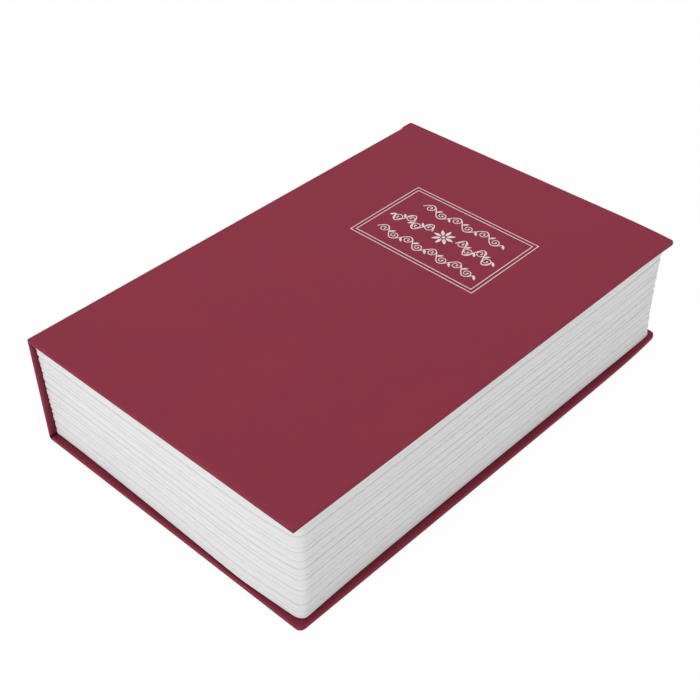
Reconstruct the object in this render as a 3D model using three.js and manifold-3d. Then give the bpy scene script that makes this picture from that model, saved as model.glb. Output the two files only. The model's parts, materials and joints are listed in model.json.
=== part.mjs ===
// A key-lock safe in the form of a hardback book, lying closed on its back cover.
// Millimetres. X runs from the spine to the fore-edge, Y from the tail to the head, Z up.
// The origin is the centre of the closed book's footprint, on the back cover's outer face.
import * as THREE from 'three';
import { mergeVertices } from 'three/addons/utils/BufferGeometryUtils.js';
import Module from 'manifold-3d';

const wasm = await Module();
wasm.setup();

// The closed book, measured over its covers
const BOOK_LENGTH = 240;
const BOOK_WIDTH = 158.6;
const BOOK_THICKNESS = 56.8;

// The case: three boards, the paper glued round them and the linings inside
const BOARD = 1.6;
const WRAP_PAPER = 0.25;
const LINING_PAPER = 0.2;
const GLUE_LINE = 0.05;
const TURN_IN = 15;
const LINING_MARGIN = 5;
const COVER_CORNER_RADIUS = 1.2;
const FOLD_GAP = 0.1;
const SPINE_END_GAP = 0.3;
const SPINE_LINING_MARGIN = 1.5;

// The moulded page block, and how the case stands off it
const FORE_OVERHANG = 1.4;
const END_OVERHANG = 1.7;
const SPINE_GAP = 0.15;
const CLOSING_GAP = 0.25;
const PAGE_CORNER_RADIUS = 6.5;
const BLOCK_LEAN = 1.2;
const FOOT_FLARE = 2.7;
const FOOT_HEIGHT_SHARE = 0.35;
const FOOT_PEAK_SHARE = 0.75;
const FOOT_END_SHARE = 1.35;
const PAGE_WALL = 2.2;
const PAGE_DECK = 2.4;
const SPINE_RIM = 10.5;
const FORE_RIM = 15.3;
const END_RIM = 14.6;
const OPENING_WALL = 1.8;
const RIB = 1.6;
const RIB_PITCH = 34;
const OPENING_RADIUS = 4;
const SHELF_SIDE = 20;
const SHELF_HEIGHT = 3;

// The ridges moulded into the three page edges, from the bottom to the top
const RIDGE_DEPTH = 0.9;
const RIDGE_STEP = 0.7;
const RIDGE_WAVE = 0.45;
const RIDGE_HEIGHT_SHARES = [3.2, 4.3, 4.6, 2.6, 3, 2.7, 2.4, 3.9, 4, 5, 2.5, 2.8, 3.2, 4.1, 3.3];
const RIDGE_CREST_SHARES = [0.55, 0.3, 0.7, 0.4, 0.8, 0.6, 0.35, 1, 0.5, 0.9, 0.4, 0.65, 0.85, 0.5, 0.7];
const GROOVE_DEPTH_SHARES = [0.35, 0.8, 0.45, 0.6, 0.3, 1, 0.6, 1, 0.85, 0.75, 0.5, 0.3, 0.8, 0.5];
const SHOULDER_HEIGHT_SHARE = 0.16;
const SHOULDER_DEPTH_SHARE = 0.22;
const WAVE_TURNS = 3.5;
const WAVE_LEAD = 0.4;
const TAIL_SPANS = 6;
const FORE_SPANS = 9;

// The steel box and its lid, which fill the page block's opening
const BOX_STEEL = 1;
const BOX_CORNER_RADIUS = 4;
const BOX_BEND_RADIUS = 2;
const LID_STEEL = 1;
const LID_BEND_RADIUS = 1.4;
const LID_SINK = 2.3;
const LID_SKIRT = 8;
const LID_REST = 0.3;
const LID_ROOM = 1.2;
const SKIRT_CLEARANCE = 0.5;
const HINGE_ROOM = 4.2;
const SEAT = 0.1;

// The lid's piano hinge
const HINGE_INSET = 10;
const LEAF_STEEL = 0.8;
const LEAF_WIDTH = 11;
const KNUCKLE_RADIUS = 1.8;
const KNUCKLE_BORE = 1;
const PIN_RADIUS = 0.7;
const KNUCKLES = 9;
const KNUCKLE_GAP = 0.3;
const LEAF_CLEARANCE = 0.3;
const WELD_GAP = 0.05;

// The cam lock in the lid
const LOCK_INSET = 19;
const LOCK_HEAD_RADIUS = 9.5;
const LOCK_HEAD_HEIGHT = 1.4;
const LOCK_HEAD_CHAMFER = 0.5;
const LOCK_STEM_RADIUS = 8;
const LOCK_STEM_FLATS = 14;
const LOCK_STEM_LENGTH = 15;
const LOCK_CLEARANCE = 0.3;
const PLUG_RADIUS = 5.5;
const PLUG_HEAD_RADIUS = 7;
const PLUG_HEAD_HEIGHT = 1.1;
const PLUG_SUNK = 0.2;
const PLUG_PROUD = 0.3;
const PLUG_TAIL = 5.6;
const KEYWAY_LENGTH = 8;
const KEYWAY_WIDTH = 1.5;
const KEYWAY_DEPTH = 11;
const LOCK_WASHER_RADIUS = 10.6;
const LOCK_WASHER_HEIGHT = 0.8;
const LOCK_NUT_FLATS = 20;
const LOCK_NUT_HEIGHT = 3;
const LOCK_NUT_CHAMFER = 0.6;

// The cam, its screw and the strike that it turns under
const CAM_REACH = 16.5;
const CAM_EYE_RADIUS = 6.5;
const CAM_WIDTH = 9;
const CAM_TIP_RADIUS = 2;
const CAM_STEEL = 1.8;
const CAM_HOLE_CLEARANCE = 0.15;
const CAM_SCREW_RADIUS = 1.7;
const CAM_SCREW_DEPTH = 6;
const CAM_SCREW_HEAD_RADIUS = 4;
const CAM_SCREW_HEAD_HEIGHT = 2;
const STRIKE_CLEARANCE = 0.4;
const STRIKE_LENGTH = 26;
const STRIKE_LEG = 10;
const STRIKE_REACH = 8;
const STRIKE_STEEL = 1.2;
const STRIKE_BEND_RADIUS = 1.6;

// The four screws that hold the box down to the page block's shelves
const SCREW_INSET = 11;
const SCREW_RADIUS = 1.2;
const SCREW_LENGTH = 3.2;
const SCREW_HEAD_RADIUS = 3;
const SCREW_HEAD_HEIGHT = 1.7;
const SCREW_CLEARANCE = 0.3;

// How finely round shapes are divided, and how far a cut runs past what it cuts
const ROUND_SIDES = 32;
const SMALL_SIDES = 16;
const NUT_SIDES = 6;
const CORNER_STEPS = 5;
const BEND_STEPS = 3;
const CUT = 1;
const MERGE_TOLERANCE = 1e-4;

// Faces and levels worked out from the sizes above
const COVER = WRAP_PAPER + GLUE_LINE + BOARD + GLUE_LINE + WRAP_PAPER;
const LINING = GLUE_LINE + LINING_PAPER;
const spineX = -BOOK_WIDTH / 2;
const foreX = BOOK_WIDTH / 2;
const headY = BOOK_LENGTH / 2;
const coverStartX = spineX + WRAP_PAPER + FOLD_GAP;
const spineInnerX = spineX + COVER;

const blockBottomZ = COVER + LINING + GLUE_LINE;
const blockTopZ = BOOK_THICKNESS - COVER - LINING - CLOSING_GAP;
const blockSpineX = spineInnerX + LINING + SPINE_GAP;
const blockForeX = foreX - FORE_OVERHANG;
const blockHeadY = headY - END_OVERHANG;

const openingWest = blockSpineX + SPINE_RIM;
const openingEast = blockForeX - FORE_RIM;
const openingHeadY = blockHeadY - END_RIM;
const lidEast = openingEast - LID_ROOM;
const lidHeadY = openingHeadY - LID_ROOM;
const pinX = openingWest + HINGE_ROOM;
const boxWest = pinX + KNUCKLE_RADIUS + WELD_GAP;
const boxEast = lidEast - LID_STEEL - SKIRT_CLEARANCE;
const boxHeadY = lidHeadY - LID_STEEL - SKIRT_CLEARANCE;
const boxInnerWest = boxWest + BOX_STEEL;
const boxInnerEast = boxEast - BOX_STEEL;
const boxInnerHeadY = boxHeadY - BOX_STEEL;
const hingeHalf = boxInnerHeadY - HINGE_INSET;
const shelfTopZ = blockBottomZ + SHELF_HEIGHT;
const boxBottomZ = shelfTopZ + SEAT;
const boxFloorZ = boxBottomZ + BOX_STEEL;

const lidTopZ = blockTopZ - LID_SINK;
const lidUnderZ = lidTopZ - LID_STEEL;
const boxRimZ = lidUnderZ - LID_REST;
const leafTopZ = lidUnderZ - WELD_GAP;
const pinZ = leafTopZ - KNUCKLE_RADIUS;

const lockX = boxInnerEast - LOCK_INSET;
const lockFaceZ = lidTopZ + WELD_GAP;
const lockTopZ = lockFaceZ + LOCK_HEAD_HEIGHT;
const plugTopZ = lockTopZ - PLUG_SUNK;
const plugSeatZ = plugTopZ - PLUG_HEAD_HEIGHT;
const stemBottomZ = lidTopZ - LOCK_STEM_LENGTH;
const camTopZ = stemBottomZ - PLUG_PROUD - WELD_GAP;
const camBottomZ = camTopZ - CAM_STEEL;
const strikeZ = camTopZ + STRIKE_CLEARANCE;

// Finishes
const coverPaperFinish = finish(0x893847, 0.62, 0);
const greyboardFinish = finish(0x8d867c, 0.95, 0);
const liningFinish = finish(0xe9e6df, 0.85, 0);
const pageFinish = finish(0xe6e7e6, 0.5, 0);
const boxFinish = finish(0x1c1d1f, 0.55, 0.3);
const steelFinish = finish(0xa9abad, 0.35, 0.9);
const chromeFinish = finish(0xd5d7da, 0.15, 1);

function finish(color, roughness, metalness) {
  return new THREE.MeshStandardMaterial({ color, roughness, metalness });
}

// Shapes, and the joining and cutting of solids

function signedVolume(geometry) {
  const position = geometry.attributes.position;
  const index = geometry.index;
  const a = new THREE.Vector3();
  const b = new THREE.Vector3();
  const c = new THREE.Vector3();
  let sum = 0;
  for (let i = 0; i < index.count; i += 3) {
    a.fromBufferAttribute(position, index.getX(i));
    b.fromBufferAttribute(position, index.getX(i + 1));
    c.fromBufferAttribute(position, index.getX(i + 2));
    sum += a.dot(b.cross(c));
  }
  return sum;
}

function turnOut(geometry) {
  if (signedVolume(geometry) < 0) {
    const index = geometry.index;
    for (let i = 0; i < index.count; i += 3) {
      const second = index.getX(i + 1);
      index.setX(i + 1, index.getX(i + 2));
      index.setX(i + 2, second);
    }
  }
  return geometry;
}

function welded(geometry) {
  geometry.deleteAttribute('normal');
  geometry.deleteAttribute('uv');
  return turnOut(mergeVertices(geometry, MERGE_TOLERANCE));
}

function toSolid(geometry) {
  const mesh = welded(geometry);
  const vertProperties = new Float32Array(mesh.attributes.position.array);
  const triVerts = new Uint32Array(mesh.index.array);
  return new wasm.Manifold(new wasm.Mesh({ numProp: 3, vertProperties, triVerts }));
}

function toGeometry(solid) {
  const mesh = solid.getMesh();
  const geometry = new THREE.BufferGeometry();
  geometry.setAttribute('position', new THREE.BufferAttribute(new Float32Array(mesh.vertProperties), 3));
  geometry.setIndex(new THREE.BufferAttribute(new Uint32Array(mesh.triVerts), 1));
  return geometry;
}

function cut(body, ...tools) {
  return tools.reduce((solid, tool) => solid.subtract(tool), body);
}

function join(body, ...others) {
  return others.reduce((solid, other) => solid.add(other), body);
}

function block(x0, x1, y0, y1, z0, z1) {
  const geometry = new THREE.BoxGeometry(x1 - x0, y1 - y0, z1 - z0);
  return toSolid(geometry.translate((x0 + x1) / 2, (y0 + y1) / 2, (z0 + z1) / 2));
}

// An outline in X and Y, raised from z0 to z1
function prism(shape, z0, z1) {
  const options = { depth: z1 - z0, bevelEnabled: false, curveSegments: CORNER_STEPS };
  return toSolid(new THREE.ExtrudeGeometry(shape, options).translate(0, 0, z0));
}

// An outline in X and Z, drawn out along Y from y0 to y1
function prismY(shape, y0, y1) {
  const options = { depth: y1 - y0, bevelEnabled: false, curveSegments: CORNER_STEPS };
  const geometry = new THREE.ExtrudeGeometry(shape, options);
  return toSolid(geometry.rotateX(Math.PI / 2).translate(0, y1, 0));
}

function rod(radius, z0, z1, x, y, sides) {
  const geometry = new THREE.CylinderGeometry(radius, radius, z1 - z0, sides);
  return toSolid(geometry.rotateX(Math.PI / 2).translate(x, y, (z0 + z1) / 2));
}

function rodY(radius, y0, y1, x, z, sides) {
  const geometry = new THREE.CylinderGeometry(radius, radius, y1 - y0, sides);
  return toSolid(geometry.translate(x, (y0 + y1) / 2, z));
}

// A profile of [radius, z] points turned about the vertical line through x, y
function turned(profile, x, y, sides) {
  const points = profile.map(([radius, z]) => new THREE.Vector2(radius, z));
  const geometry = new THREE.LatheGeometry(points, sides);
  return toSolid(geometry.rotateX(Math.PI / 2).translate(x, y, 0));
}

// Rings of as many points each, skinned from the first to the last and closed at both ends
function loft(rings) {
  const count = rings[0].length;
  const positions = rings.flat().flatMap((point) => [point.x, point.y, point.z]);
  const faces = [];
  for (let level = 0; level + 1 < rings.length; level += 1) {
    for (let i = 0; i < count; i += 1) {
      const next = (i + 1) % count;
      const low = level * count;
      const high = low + count;
      faces.push(low + i, low + next, high + next);
      faces.push(low + i, high + next, high + i);
    }
  }
  const cap = THREE.ShapeUtils.triangulateShape(rings[0], []);
  const last = (rings.length - 1) * count;
  for (const [a, b, c] of cap) {
    faces.push(c, b, a);
    faces.push(last + a, last + b, last + c);
  }
  const geometry = new THREE.BufferGeometry();
  geometry.setAttribute('position', new THREE.Float32BufferAttribute(positions, 3));
  geometry.setIndex(faces);
  return toSolid(geometry);
}

function rectangle(x0, x1, halfY) {
  const shape = new THREE.Shape();
  shape.moveTo(x0, -halfY);
  shape.lineTo(x1, -halfY);
  shape.lineTo(x1, halfY);
  shape.lineTo(x0, halfY);
  shape.closePath();
  return shape;
}

function roundedRing(x0, x1, halfY, radius, z) {
  const corners = [
    [x1 - radius, radius - halfY, -Math.PI / 2],
    [x1 - radius, halfY - radius, 0],
    [x0 + radius, halfY - radius, Math.PI / 2],
    [x0 + radius, radius - halfY, Math.PI],
  ];
  const ring = [];
  for (const [x, y, start] of corners) {
    for (let i = 0; i <= CORNER_STEPS; i += 1) {
      const angle = start + (Math.PI / 2) * (i / CORNER_STEPS);
      ring.push(new THREE.Vector3(x + radius * Math.cos(angle), y + radius * Math.sin(angle), z));
    }
  }
  return ring;
}

function roundedPrism(x0, x1, halfY, radius, z0, z1) {
  return loft([z0, z1].map((z) => roundedRing(x0, x1, halfY, radius, z)));
}

// A pressed form with a bend along its closed face at zClosed, open towards zOpen
function pressed(x0, x1, halfY, radius, bend, zClosed, zOpen) {
  const way = Math.sign(zOpen - zClosed);
  const rings = [];
  for (let i = 0; i <= BEND_STEPS; i += 1) {
    const angle = (Math.PI / 2) * (i / BEND_STEPS);
    const inset = bend * (1 - Math.sin(angle));
    const z = zClosed + way * bend * (1 - Math.cos(angle));
    rings.push(roundedRing(x0 + inset, x1 - inset, halfY - inset, radius - inset, z));
  }
  rings.push(roundedRing(x0, x1, halfY, radius, zOpen));
  return loft(rings);
}

// The case. A cover is drawn as the back one lies: outer face at z = 0, inner face at z = COVER.

function coverPlate(x0, x1, halfY, radius, z0, z1) {
  const shape = new THREE.Shape();
  shape.moveTo(x0, -halfY);
  shape.lineTo(x1 - radius, -halfY);
  shape.absarc(x1 - radius, radius - halfY, radius, -Math.PI / 2, 0, false);
  shape.lineTo(x1, halfY - radius);
  shape.absarc(x1 - radius, halfY - radius, radius, 0, Math.PI / 2, false);
  shape.lineTo(x0, halfY);
  shape.closePath();
  return prism(shape, z0, z1);
}

function coverPaper() {
  const roomRadius = COVER_CORNER_RADIUS - WRAP_PAPER;
  const roomX = foreX - WRAP_PAPER;
  const roomY = headY - WRAP_PAPER;
  const wrap = coverPlate(coverStartX, foreX, headY, COVER_CORNER_RADIUS, 0, COVER);
  const roomTop = COVER - WRAP_PAPER;
  const boardRoom = coverPlate(coverStartX - CUT, roomX, roomY, roomRadius, WRAP_PAPER, roomTop);
  const bareShape = rectangle(coverStartX - CUT, foreX - TURN_IN, headY - TURN_IN);
  return cut(wrap, boardRoom, prism(bareShape, COVER / 2, COVER + CUT));
}

function coverBoard() {
  const skin = WRAP_PAPER + GLUE_LINE;
  const radius = COVER_CORNER_RADIUS - skin;
  return coverPlate(coverStartX, foreX - skin, headY - skin, radius, skin, COVER - skin);
}

// A lining lies on the turned-in edges, and its middle sinks to the bare board between them
function liningSheet(middle, sheet) {
  const sheetZ = COVER + GLUE_LINE;
  const sunk = prism(middle, COVER - WRAP_PAPER, sheetZ + LINING_PAPER / 2);
  return join(sunk, prism(sheet, sheetZ, COVER + LINING));
}

function coverLining() {
  const startX = spineInnerX + LINING_MARGIN;
  const sheet = rectangle(startX, foreX - LINING_MARGIN, headY - LINING_MARGIN);
  const edge = TURN_IN + GLUE_LINE;
  const middle = rectangle(startX, foreX - edge, headY - edge);
  return liningSheet(middle, sheet);
}

// The spine is drawn lying on its outer face, its height along X, centred on the origin.

const spineBoardHalf = BOOK_THICKNESS / 2 - COVER - SPINE_END_GAP;

function spinePaper() {
  const skinHalf = BOOK_THICKNESS / 2 - FOLD_GAP;
  const skin = prism(rectangle(-skinHalf, skinHalf, headY), 0, WRAP_PAPER);
  const ends = prism(rectangle(-spineBoardHalf, spineBoardHalf, headY), 0, COVER);
  const pastBoard = spineBoardHalf + CUT;
  const roomShape = rectangle(-pastBoard, pastBoard, headY - WRAP_PAPER);
  const boardRoom = prism(roomShape, WRAP_PAPER, COVER - WRAP_PAPER);
  const bareShape = rectangle(-pastBoard, pastBoard, headY - TURN_IN);
  return join(cut(ends, boardRoom, prism(bareShape, COVER / 2, COVER + CUT)), skin);
}

function spineBoard() {
  const skin = WRAP_PAPER + GLUE_LINE;
  return prism(rectangle(-spineBoardHalf, spineBoardHalf, headY - skin), skin, COVER - skin);
}

function spineLining() {
  const half = spineBoardHalf - SPINE_LINING_MARGIN;
  const sheet = rectangle(-half, half, headY - LINING_MARGIN);
  const middle = rectangle(-half, half, headY - TURN_IN - GLUE_LINE);
  return liningSheet(middle, sheet);
}

// The page block: a ribbed moulding, ridged like leaves on the tail, fore-edge and head

// How far the lowest leaves spread out at the tail, most at three quarters of the way to the fore-edge
function footAt(x, share) {
  const along = (x - blockSpineX) / (blockForeX - blockSpineX);
  const rising = along / FOOT_PEAK_SHARE;
  const falling = (FOOT_END_SHARE - along) / (FOOT_END_SHARE - FOOT_PEAK_SHARE);
  return FOOT_FLARE * Math.min(rising, falling) * Math.max(0, 1 - share / FOOT_HEIGHT_SHARE);
}

// Points along one level of the block's outside, share of the way up it, which leans in towards its foot
function pageRing({ z, share, inset, wave, lead }) {
  const stand = inset + BLOCK_LEAN * (1 - share);
  const x1 = blockForeX - stand;
  const y1 = blockHeadY - stand;
  const radius = PAGE_CORNER_RADIUS - stand;
  const path = [];
  for (let i = 0; i < TAIL_SPANS; i += 1) {
    path.push([blockSpineX + (x1 - radius - blockSpineX) * (i / TAIL_SPANS), -y1]);
  }
  for (let i = 0; i <= CORNER_STEPS; i += 1) {
    const angle = (Math.PI / 2) * (i / CORNER_STEPS);
    path.push([x1 - radius + radius * Math.sin(angle), radius - y1 - radius * Math.cos(angle)]);
  }
  for (let i = 1; i < FORE_SPANS; i += 1) {
    path.push([x1, (radius - y1) * (1 - (2 * i) / FORE_SPANS)]);
  }
  const tailHalf = path.slice(0, TAIL_SPANS + CORNER_STEPS + 1);
  for (const [x, y] of tailHalf.reverse()) {
    path.push([x, -y]);
  }
  return path.map(([x, y], i) => {
    const turn = 2 * Math.PI * (WAVE_TURNS * (i / path.length) + lead);
    const foot = i <= TAIL_SPANS + CORNER_STEPS ? footAt(x, share) : 0;
    return new THREE.Vector3(x, y - foot, z + wave * Math.sin(turn));
  });
}

// The levels of the moulded leaves: each rises from a groove over a shoulder to its crest and back
function pageLevels() {
  const total = RIDGE_HEIGHT_SHARES.reduce((sum, share) => sum + share, 0);
  const height = blockTopZ - blockBottomZ;
  const levels = [];
  let z = blockBottomZ;
  RIDGE_HEIGHT_SHARES.forEach((share, i) => {
    const ridge = height * (share / total);
    const crest = RIDGE_STEP * (1 - RIDGE_CREST_SHARES[i]);
    const shoulder = crest + RIDGE_DEPTH * SHOULDER_DEPTH_SHARE;
    const lead = WAVE_LEAD * (i / RIDGE_HEIGHT_SHARES.length);
    levels.push({ z: z + ridge * SHOULDER_HEIGHT_SHARE, inset: shoulder, lead });
    levels.push({ z: z + ridge / 2, inset: crest, lead });
    levels.push({ z: z + ridge * (1 - SHOULDER_HEIGHT_SHARE), inset: shoulder, lead });
    z += ridge;
    if (i < GROOVE_DEPTH_SHARES.length) {
      levels.push({ z, inset: crest + RIDGE_DEPTH * GROOVE_DEPTH_SHARES[i], lead });
    }
  });
  return levels;
}

function pageOutside() {
  const levels = pageLevels();
  const flat = { wave: 0, lead: 0 };
  const rings = [pageRing({ ...flat, z: blockBottomZ, share: 0, inset: levels[0].inset })];
  for (const level of levels) {
    const share = (level.z - blockBottomZ) / (blockTopZ - blockBottomZ);
    rings.push(pageRing({ ...level, share, wave: RIDGE_WAVE * 4 * share * (1 - share) }));
  }
  rings.push(pageRing({ ...flat, z: blockTopZ, share: 1, inset: levels[levels.length - 1].inset }));
  return loft(rings);
}

// Evenly pitched places for ribs, centred on the book, as many as fit within half each way
function ribPlaces(half) {
  const count = Math.floor((2 * half) / RIB_PITCH);
  return Array.from({ length: count }, (_, i) => (i - (count - 1) / 2) * RIB_PITCH);
}

// The hollow between the outer wall and the opening's wall, left open underneath
function pageHollow() {
  const inset = RIDGE_STEP + RIDGE_DEPTH + BLOCK_LEAN + PAGE_WALL;
  const west = blockSpineX + PAGE_WALL;
  const east = blockForeX - inset;
  const half = blockHeadY - inset;
  const low = blockBottomZ - CUT;
  const high = blockTopZ - PAGE_DECK;
  const room = roundedPrism(west, east, half, OPENING_RADIUS, low, high);
  const core = roundedPrism(
    openingWest - OPENING_WALL,
    openingEast + OPENING_WALL,
    openingHeadY + OPENING_WALL,
    OPENING_RADIUS + OPENING_WALL,
    low - CUT,
    high + CUT,
  );
  const crossRibs = ribPlaces(blockForeX - PAGE_CORNER_RADIUS).map((x) =>
    block(x - RIB / 2, x + RIB / 2, -headY, headY, low - CUT, high + CUT),
  );
  const longRibs = ribPlaces(blockHeadY - PAGE_CORNER_RADIUS).map((y) =>
    block(spineX, foreX, y - RIB / 2, y + RIB / 2, low - CUT, high + CUT),
  );
  return cut(room, core, ...crossRibs, ...longRibs);
}

const screwPlaces = [
  [boxInnerWest + SCREW_INSET, SCREW_INSET - boxInnerHeadY],
  [boxInnerEast - SCREW_INSET, SCREW_INSET - boxInnerHeadY],
  [boxInnerWest + SCREW_INSET, boxInnerHeadY - SCREW_INSET],
  [boxInnerEast - SCREW_INSET, boxInnerHeadY - SCREW_INSET],
];

// The shelves stand in the opening's four corners and carry the box
function pageShelves() {
  const wallOverlap = OPENING_WALL / 2;
  const west = openingWest - wallOverlap;
  const east = openingEast + wallOverlap;
  const half = openingHeadY + wallOverlap;
  const shelves = [];
  for (const [x0, x1] of [[west, boxWest + SHELF_SIDE], [boxEast - SHELF_SIDE, east]]) {
    for (const [y0, y1] of [[-half, SHELF_SIDE - boxHeadY], [boxHeadY - SHELF_SIDE, half]]) {
      shelves.push(block(x0, x1, y0, y1, blockBottomZ, shelfTopZ));
    }
  }
  return shelves;
}

function pageBlock() {
  const low = blockBottomZ - CUT;
  const high = blockTopZ + CUT;
  const opening = roundedPrism(openingWest, openingEast, openingHeadY, OPENING_RADIUS, low, high);
  const shell = cut(pageOutside(), pageHollow(), opening);
  const pilots = screwPlaces.map(([x, y]) =>
    rod(SCREW_RADIUS + SCREW_CLEARANCE, blockBottomZ - CUT, shelfTopZ + CUT, x, y, SMALL_SIDES),
  );
  return cut(join(shell, ...pageShelves()), ...pilots);
}

// The steel box

function safeBox() {
  const outer = pressed(
    boxWest,
    boxEast,
    boxHeadY,
    BOX_CORNER_RADIUS,
    BOX_BEND_RADIUS,
    boxBottomZ,
    boxRimZ,
  );
  const inner = pressed(
    boxInnerWest,
    boxInnerEast,
    boxInnerHeadY,
    BOX_CORNER_RADIUS - BOX_STEEL,
    BOX_BEND_RADIUS - BOX_STEEL,
    boxFloorZ,
    boxRimZ + CUT,
  );
  const notchHalf = hingeHalf + KNUCKLE_RADIUS;
  const notchZ = leafTopZ - LEAF_STEEL - LEAF_CLEARANCE;
  const notch = block(boxWest - CUT, boxInnerWest + CUT, -notchHalf, notchHalf, notchZ, boxRimZ + CUT);
  const holes = screwPlaces.map(([x, y]) =>
    rod(SCREW_RADIUS + SCREW_CLEARANCE, boxBottomZ - CUT, boxFloorZ + CUT, x, y, SMALL_SIDES),
  );
  return cut(outer, inner, notch, ...holes);
}

// The lock's stem and its hole in the lid: a round bar with two flats
function stemBar(radius, flats, z0, z1) {
  const bar = rod(radius, z0, z1, lockX, 0, ROUND_SIDES);
  return bar.intersect(block(lockX - flats / 2, lockX + flats / 2, -radius - CUT, radius + CUT, z0, z1));
}

function boxLid() {
  const westPast = pinX - LID_SKIRT;
  const skirtZ = lidTopZ - LID_SKIRT;
  const radius = BOX_CORNER_RADIUS + SKIRT_CLEARANCE + LID_STEEL;
  const outer = pressed(westPast, lidEast, lidHeadY, radius, LID_BEND_RADIUS, lidTopZ, skirtZ);
  const inner = pressed(
    westPast + LID_STEEL,
    lidEast - LID_STEEL,
    lidHeadY - LID_STEEL,
    radius - LID_STEEL,
    LID_BEND_RADIUS - LID_STEEL,
    lidUnderZ,
    skirtZ - CUT,
  );
  const behindHinge = block(westPast - CUT, pinX, -headY, headY, skirtZ - CUT, lidTopZ + CUT);
  const lockHole = stemBar(
    LOCK_STEM_RADIUS + LOCK_CLEARANCE,
    LOCK_STEM_FLATS + 2 * LOCK_CLEARANCE,
    lidUnderZ - CUT,
    lidTopZ + CUT,
  );
  return cut(outer, inner, behindHinge, lockHole);
}

// The piano hinge: the box's leaf stands on its rear wall, the lid's leaf lies under the lid

const knucklePitch = (2 * hingeHalf) / KNUCKLES;

function knuckleSpans(first) {
  const spans = [];
  for (let i = first; i < KNUCKLES; i += 2) {
    const start = i * knucklePitch - hingeHalf;
    spans.push([start + KNUCKLE_GAP / 2, start + knucklePitch - KNUCKLE_GAP / 2]);
  }
  return spans;
}

function hingeBore() {
  const past = hingeHalf + CUT;
  return rodY(KNUCKLE_BORE, -past, past, pinX, pinZ, SMALL_SIDES);
}

function boxHingeLeaf() {
  const east = pinX + KNUCKLE_RADIUS;
  const west = east - LEAF_STEEL;
  const plateTop = pinZ - KNUCKLE_RADIUS - LEAF_CLEARANCE;
  const plate = block(west, east, -hingeHalf, hingeHalf, pinZ - LEAF_WIDTH, plateTop);
  const knuckles = knuckleSpans(0).flatMap(([y0, y1]) => [
    rodY(KNUCKLE_RADIUS, y0, y1, pinX, pinZ, ROUND_SIDES),
    block(west, east, y0, y1, plateTop - LEAF_STEEL, pinZ),
  ]);
  return cut(join(plate, ...knuckles), hingeBore());
}

function lidHingeLeaf() {
  const top = pinZ + KNUCKLE_RADIUS;
  const low = top - LEAF_STEEL;
  const plateWest = pinX + KNUCKLE_RADIUS + LEAF_CLEARANCE;
  const plate = block(plateWest, pinX + LEAF_WIDTH, -hingeHalf, hingeHalf, low, top);
  const knuckles = knuckleSpans(1).flatMap(([y0, y1]) => [
    rodY(KNUCKLE_RADIUS, y0, y1, pinX, pinZ, ROUND_SIDES),
    block(pinX, plateWest + LEAF_STEEL, y0, y1, low, top),
  ]);
  return cut(join(plate, ...knuckles), hingeBore());
}

function hingePin() {
  return rodY(PIN_RADIUS, -hingeHalf, hingeHalf, pinX, pinZ, SMALL_SIDES);
}

// The strike: a steel angle on the fore wall, its ledge just over the locked cam
function strikeBracket() {
  const east = boxInnerEast - WELD_GAP;
  const bend = STRIKE_BEND_RADIUS;
  const outline = new THREE.Shape();
  outline.moveTo(east - STRIKE_REACH, strikeZ);
  outline.lineTo(east - bend, strikeZ);
  outline.absarc(east - bend, strikeZ + bend, bend, -Math.PI / 2, 0, false);
  outline.lineTo(east, strikeZ + STRIKE_LEG);
  outline.lineTo(east - STRIKE_STEEL, strikeZ + STRIKE_LEG);
  outline.lineTo(east - STRIKE_STEEL, strikeZ + bend);
  outline.lineTo(east - bend, strikeZ + STRIKE_STEEL);
  outline.lineTo(east - STRIKE_REACH, strikeZ + STRIKE_STEEL);
  outline.closePath();
  return prismY(outline, -STRIKE_LENGTH / 2, STRIKE_LENGTH / 2);
}

// The cam lock

function lockBody() {
  const bore = PLUG_RADIUS + LOCK_CLEARANCE;
  const sink = PLUG_HEAD_RADIUS + LOCK_CLEARANCE;
  const sinkZ = plugSeatZ - WELD_GAP;
  const head = [
    [sink, lockTopZ],
    [LOCK_HEAD_RADIUS - LOCK_HEAD_CHAMFER, lockTopZ],
    [LOCK_HEAD_RADIUS, lockTopZ - LOCK_HEAD_CHAMFER],
    [LOCK_HEAD_RADIUS, lockFaceZ],
    [sink, lockFaceZ],
    [sink, lockTopZ],
  ];
  const stem = stemBar(LOCK_STEM_RADIUS, LOCK_STEM_FLATS, stemBottomZ, lockFaceZ + WELD_GAP);
  const hole = rod(bore, stemBottomZ - CUT, lockTopZ + CUT, lockX, 0, ROUND_SIDES);
  const counterbore = rod(sink, sinkZ, lockTopZ + CUT, lockX, 0, ROUND_SIDES);
  return cut(join(turned(head, lockX, 0, ROUND_SIDES), stem), hole, counterbore);
}

function lockPlug() {
  const shoulderZ = camTopZ + WELD_GAP;
  const profile = [
    [0, shoulderZ],
    [PLUG_RADIUS, shoulderZ],
    [PLUG_RADIUS, plugSeatZ],
    [PLUG_HEAD_RADIUS, plugSeatZ],
    [PLUG_HEAD_RADIUS, plugTopZ],
    [0, plugTopZ],
  ];
  const half = PLUG_TAIL / 2;
  const tailZ = camBottomZ + WELD_GAP;
  const tail = block(lockX - half, lockX + half, -half, half, tailZ, shoulderZ + CUT);
  const keyway = block(
    lockX - KEYWAY_LENGTH / 2,
    lockX + KEYWAY_LENGTH / 2,
    -KEYWAY_WIDTH / 2,
    KEYWAY_WIDTH / 2,
    plugTopZ - KEYWAY_DEPTH,
    plugTopZ + CUT,
  );
  const screwHole = rod(
    CAM_SCREW_RADIUS + LOCK_CLEARANCE,
    tailZ - CUT,
    tailZ + CAM_SCREW_DEPTH,
    lockX,
    0,
    SMALL_SIDES,
  );
  return cut(join(turned(profile, lockX, 0, ROUND_SIDES), tail), keyway, screwHole);
}

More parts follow.
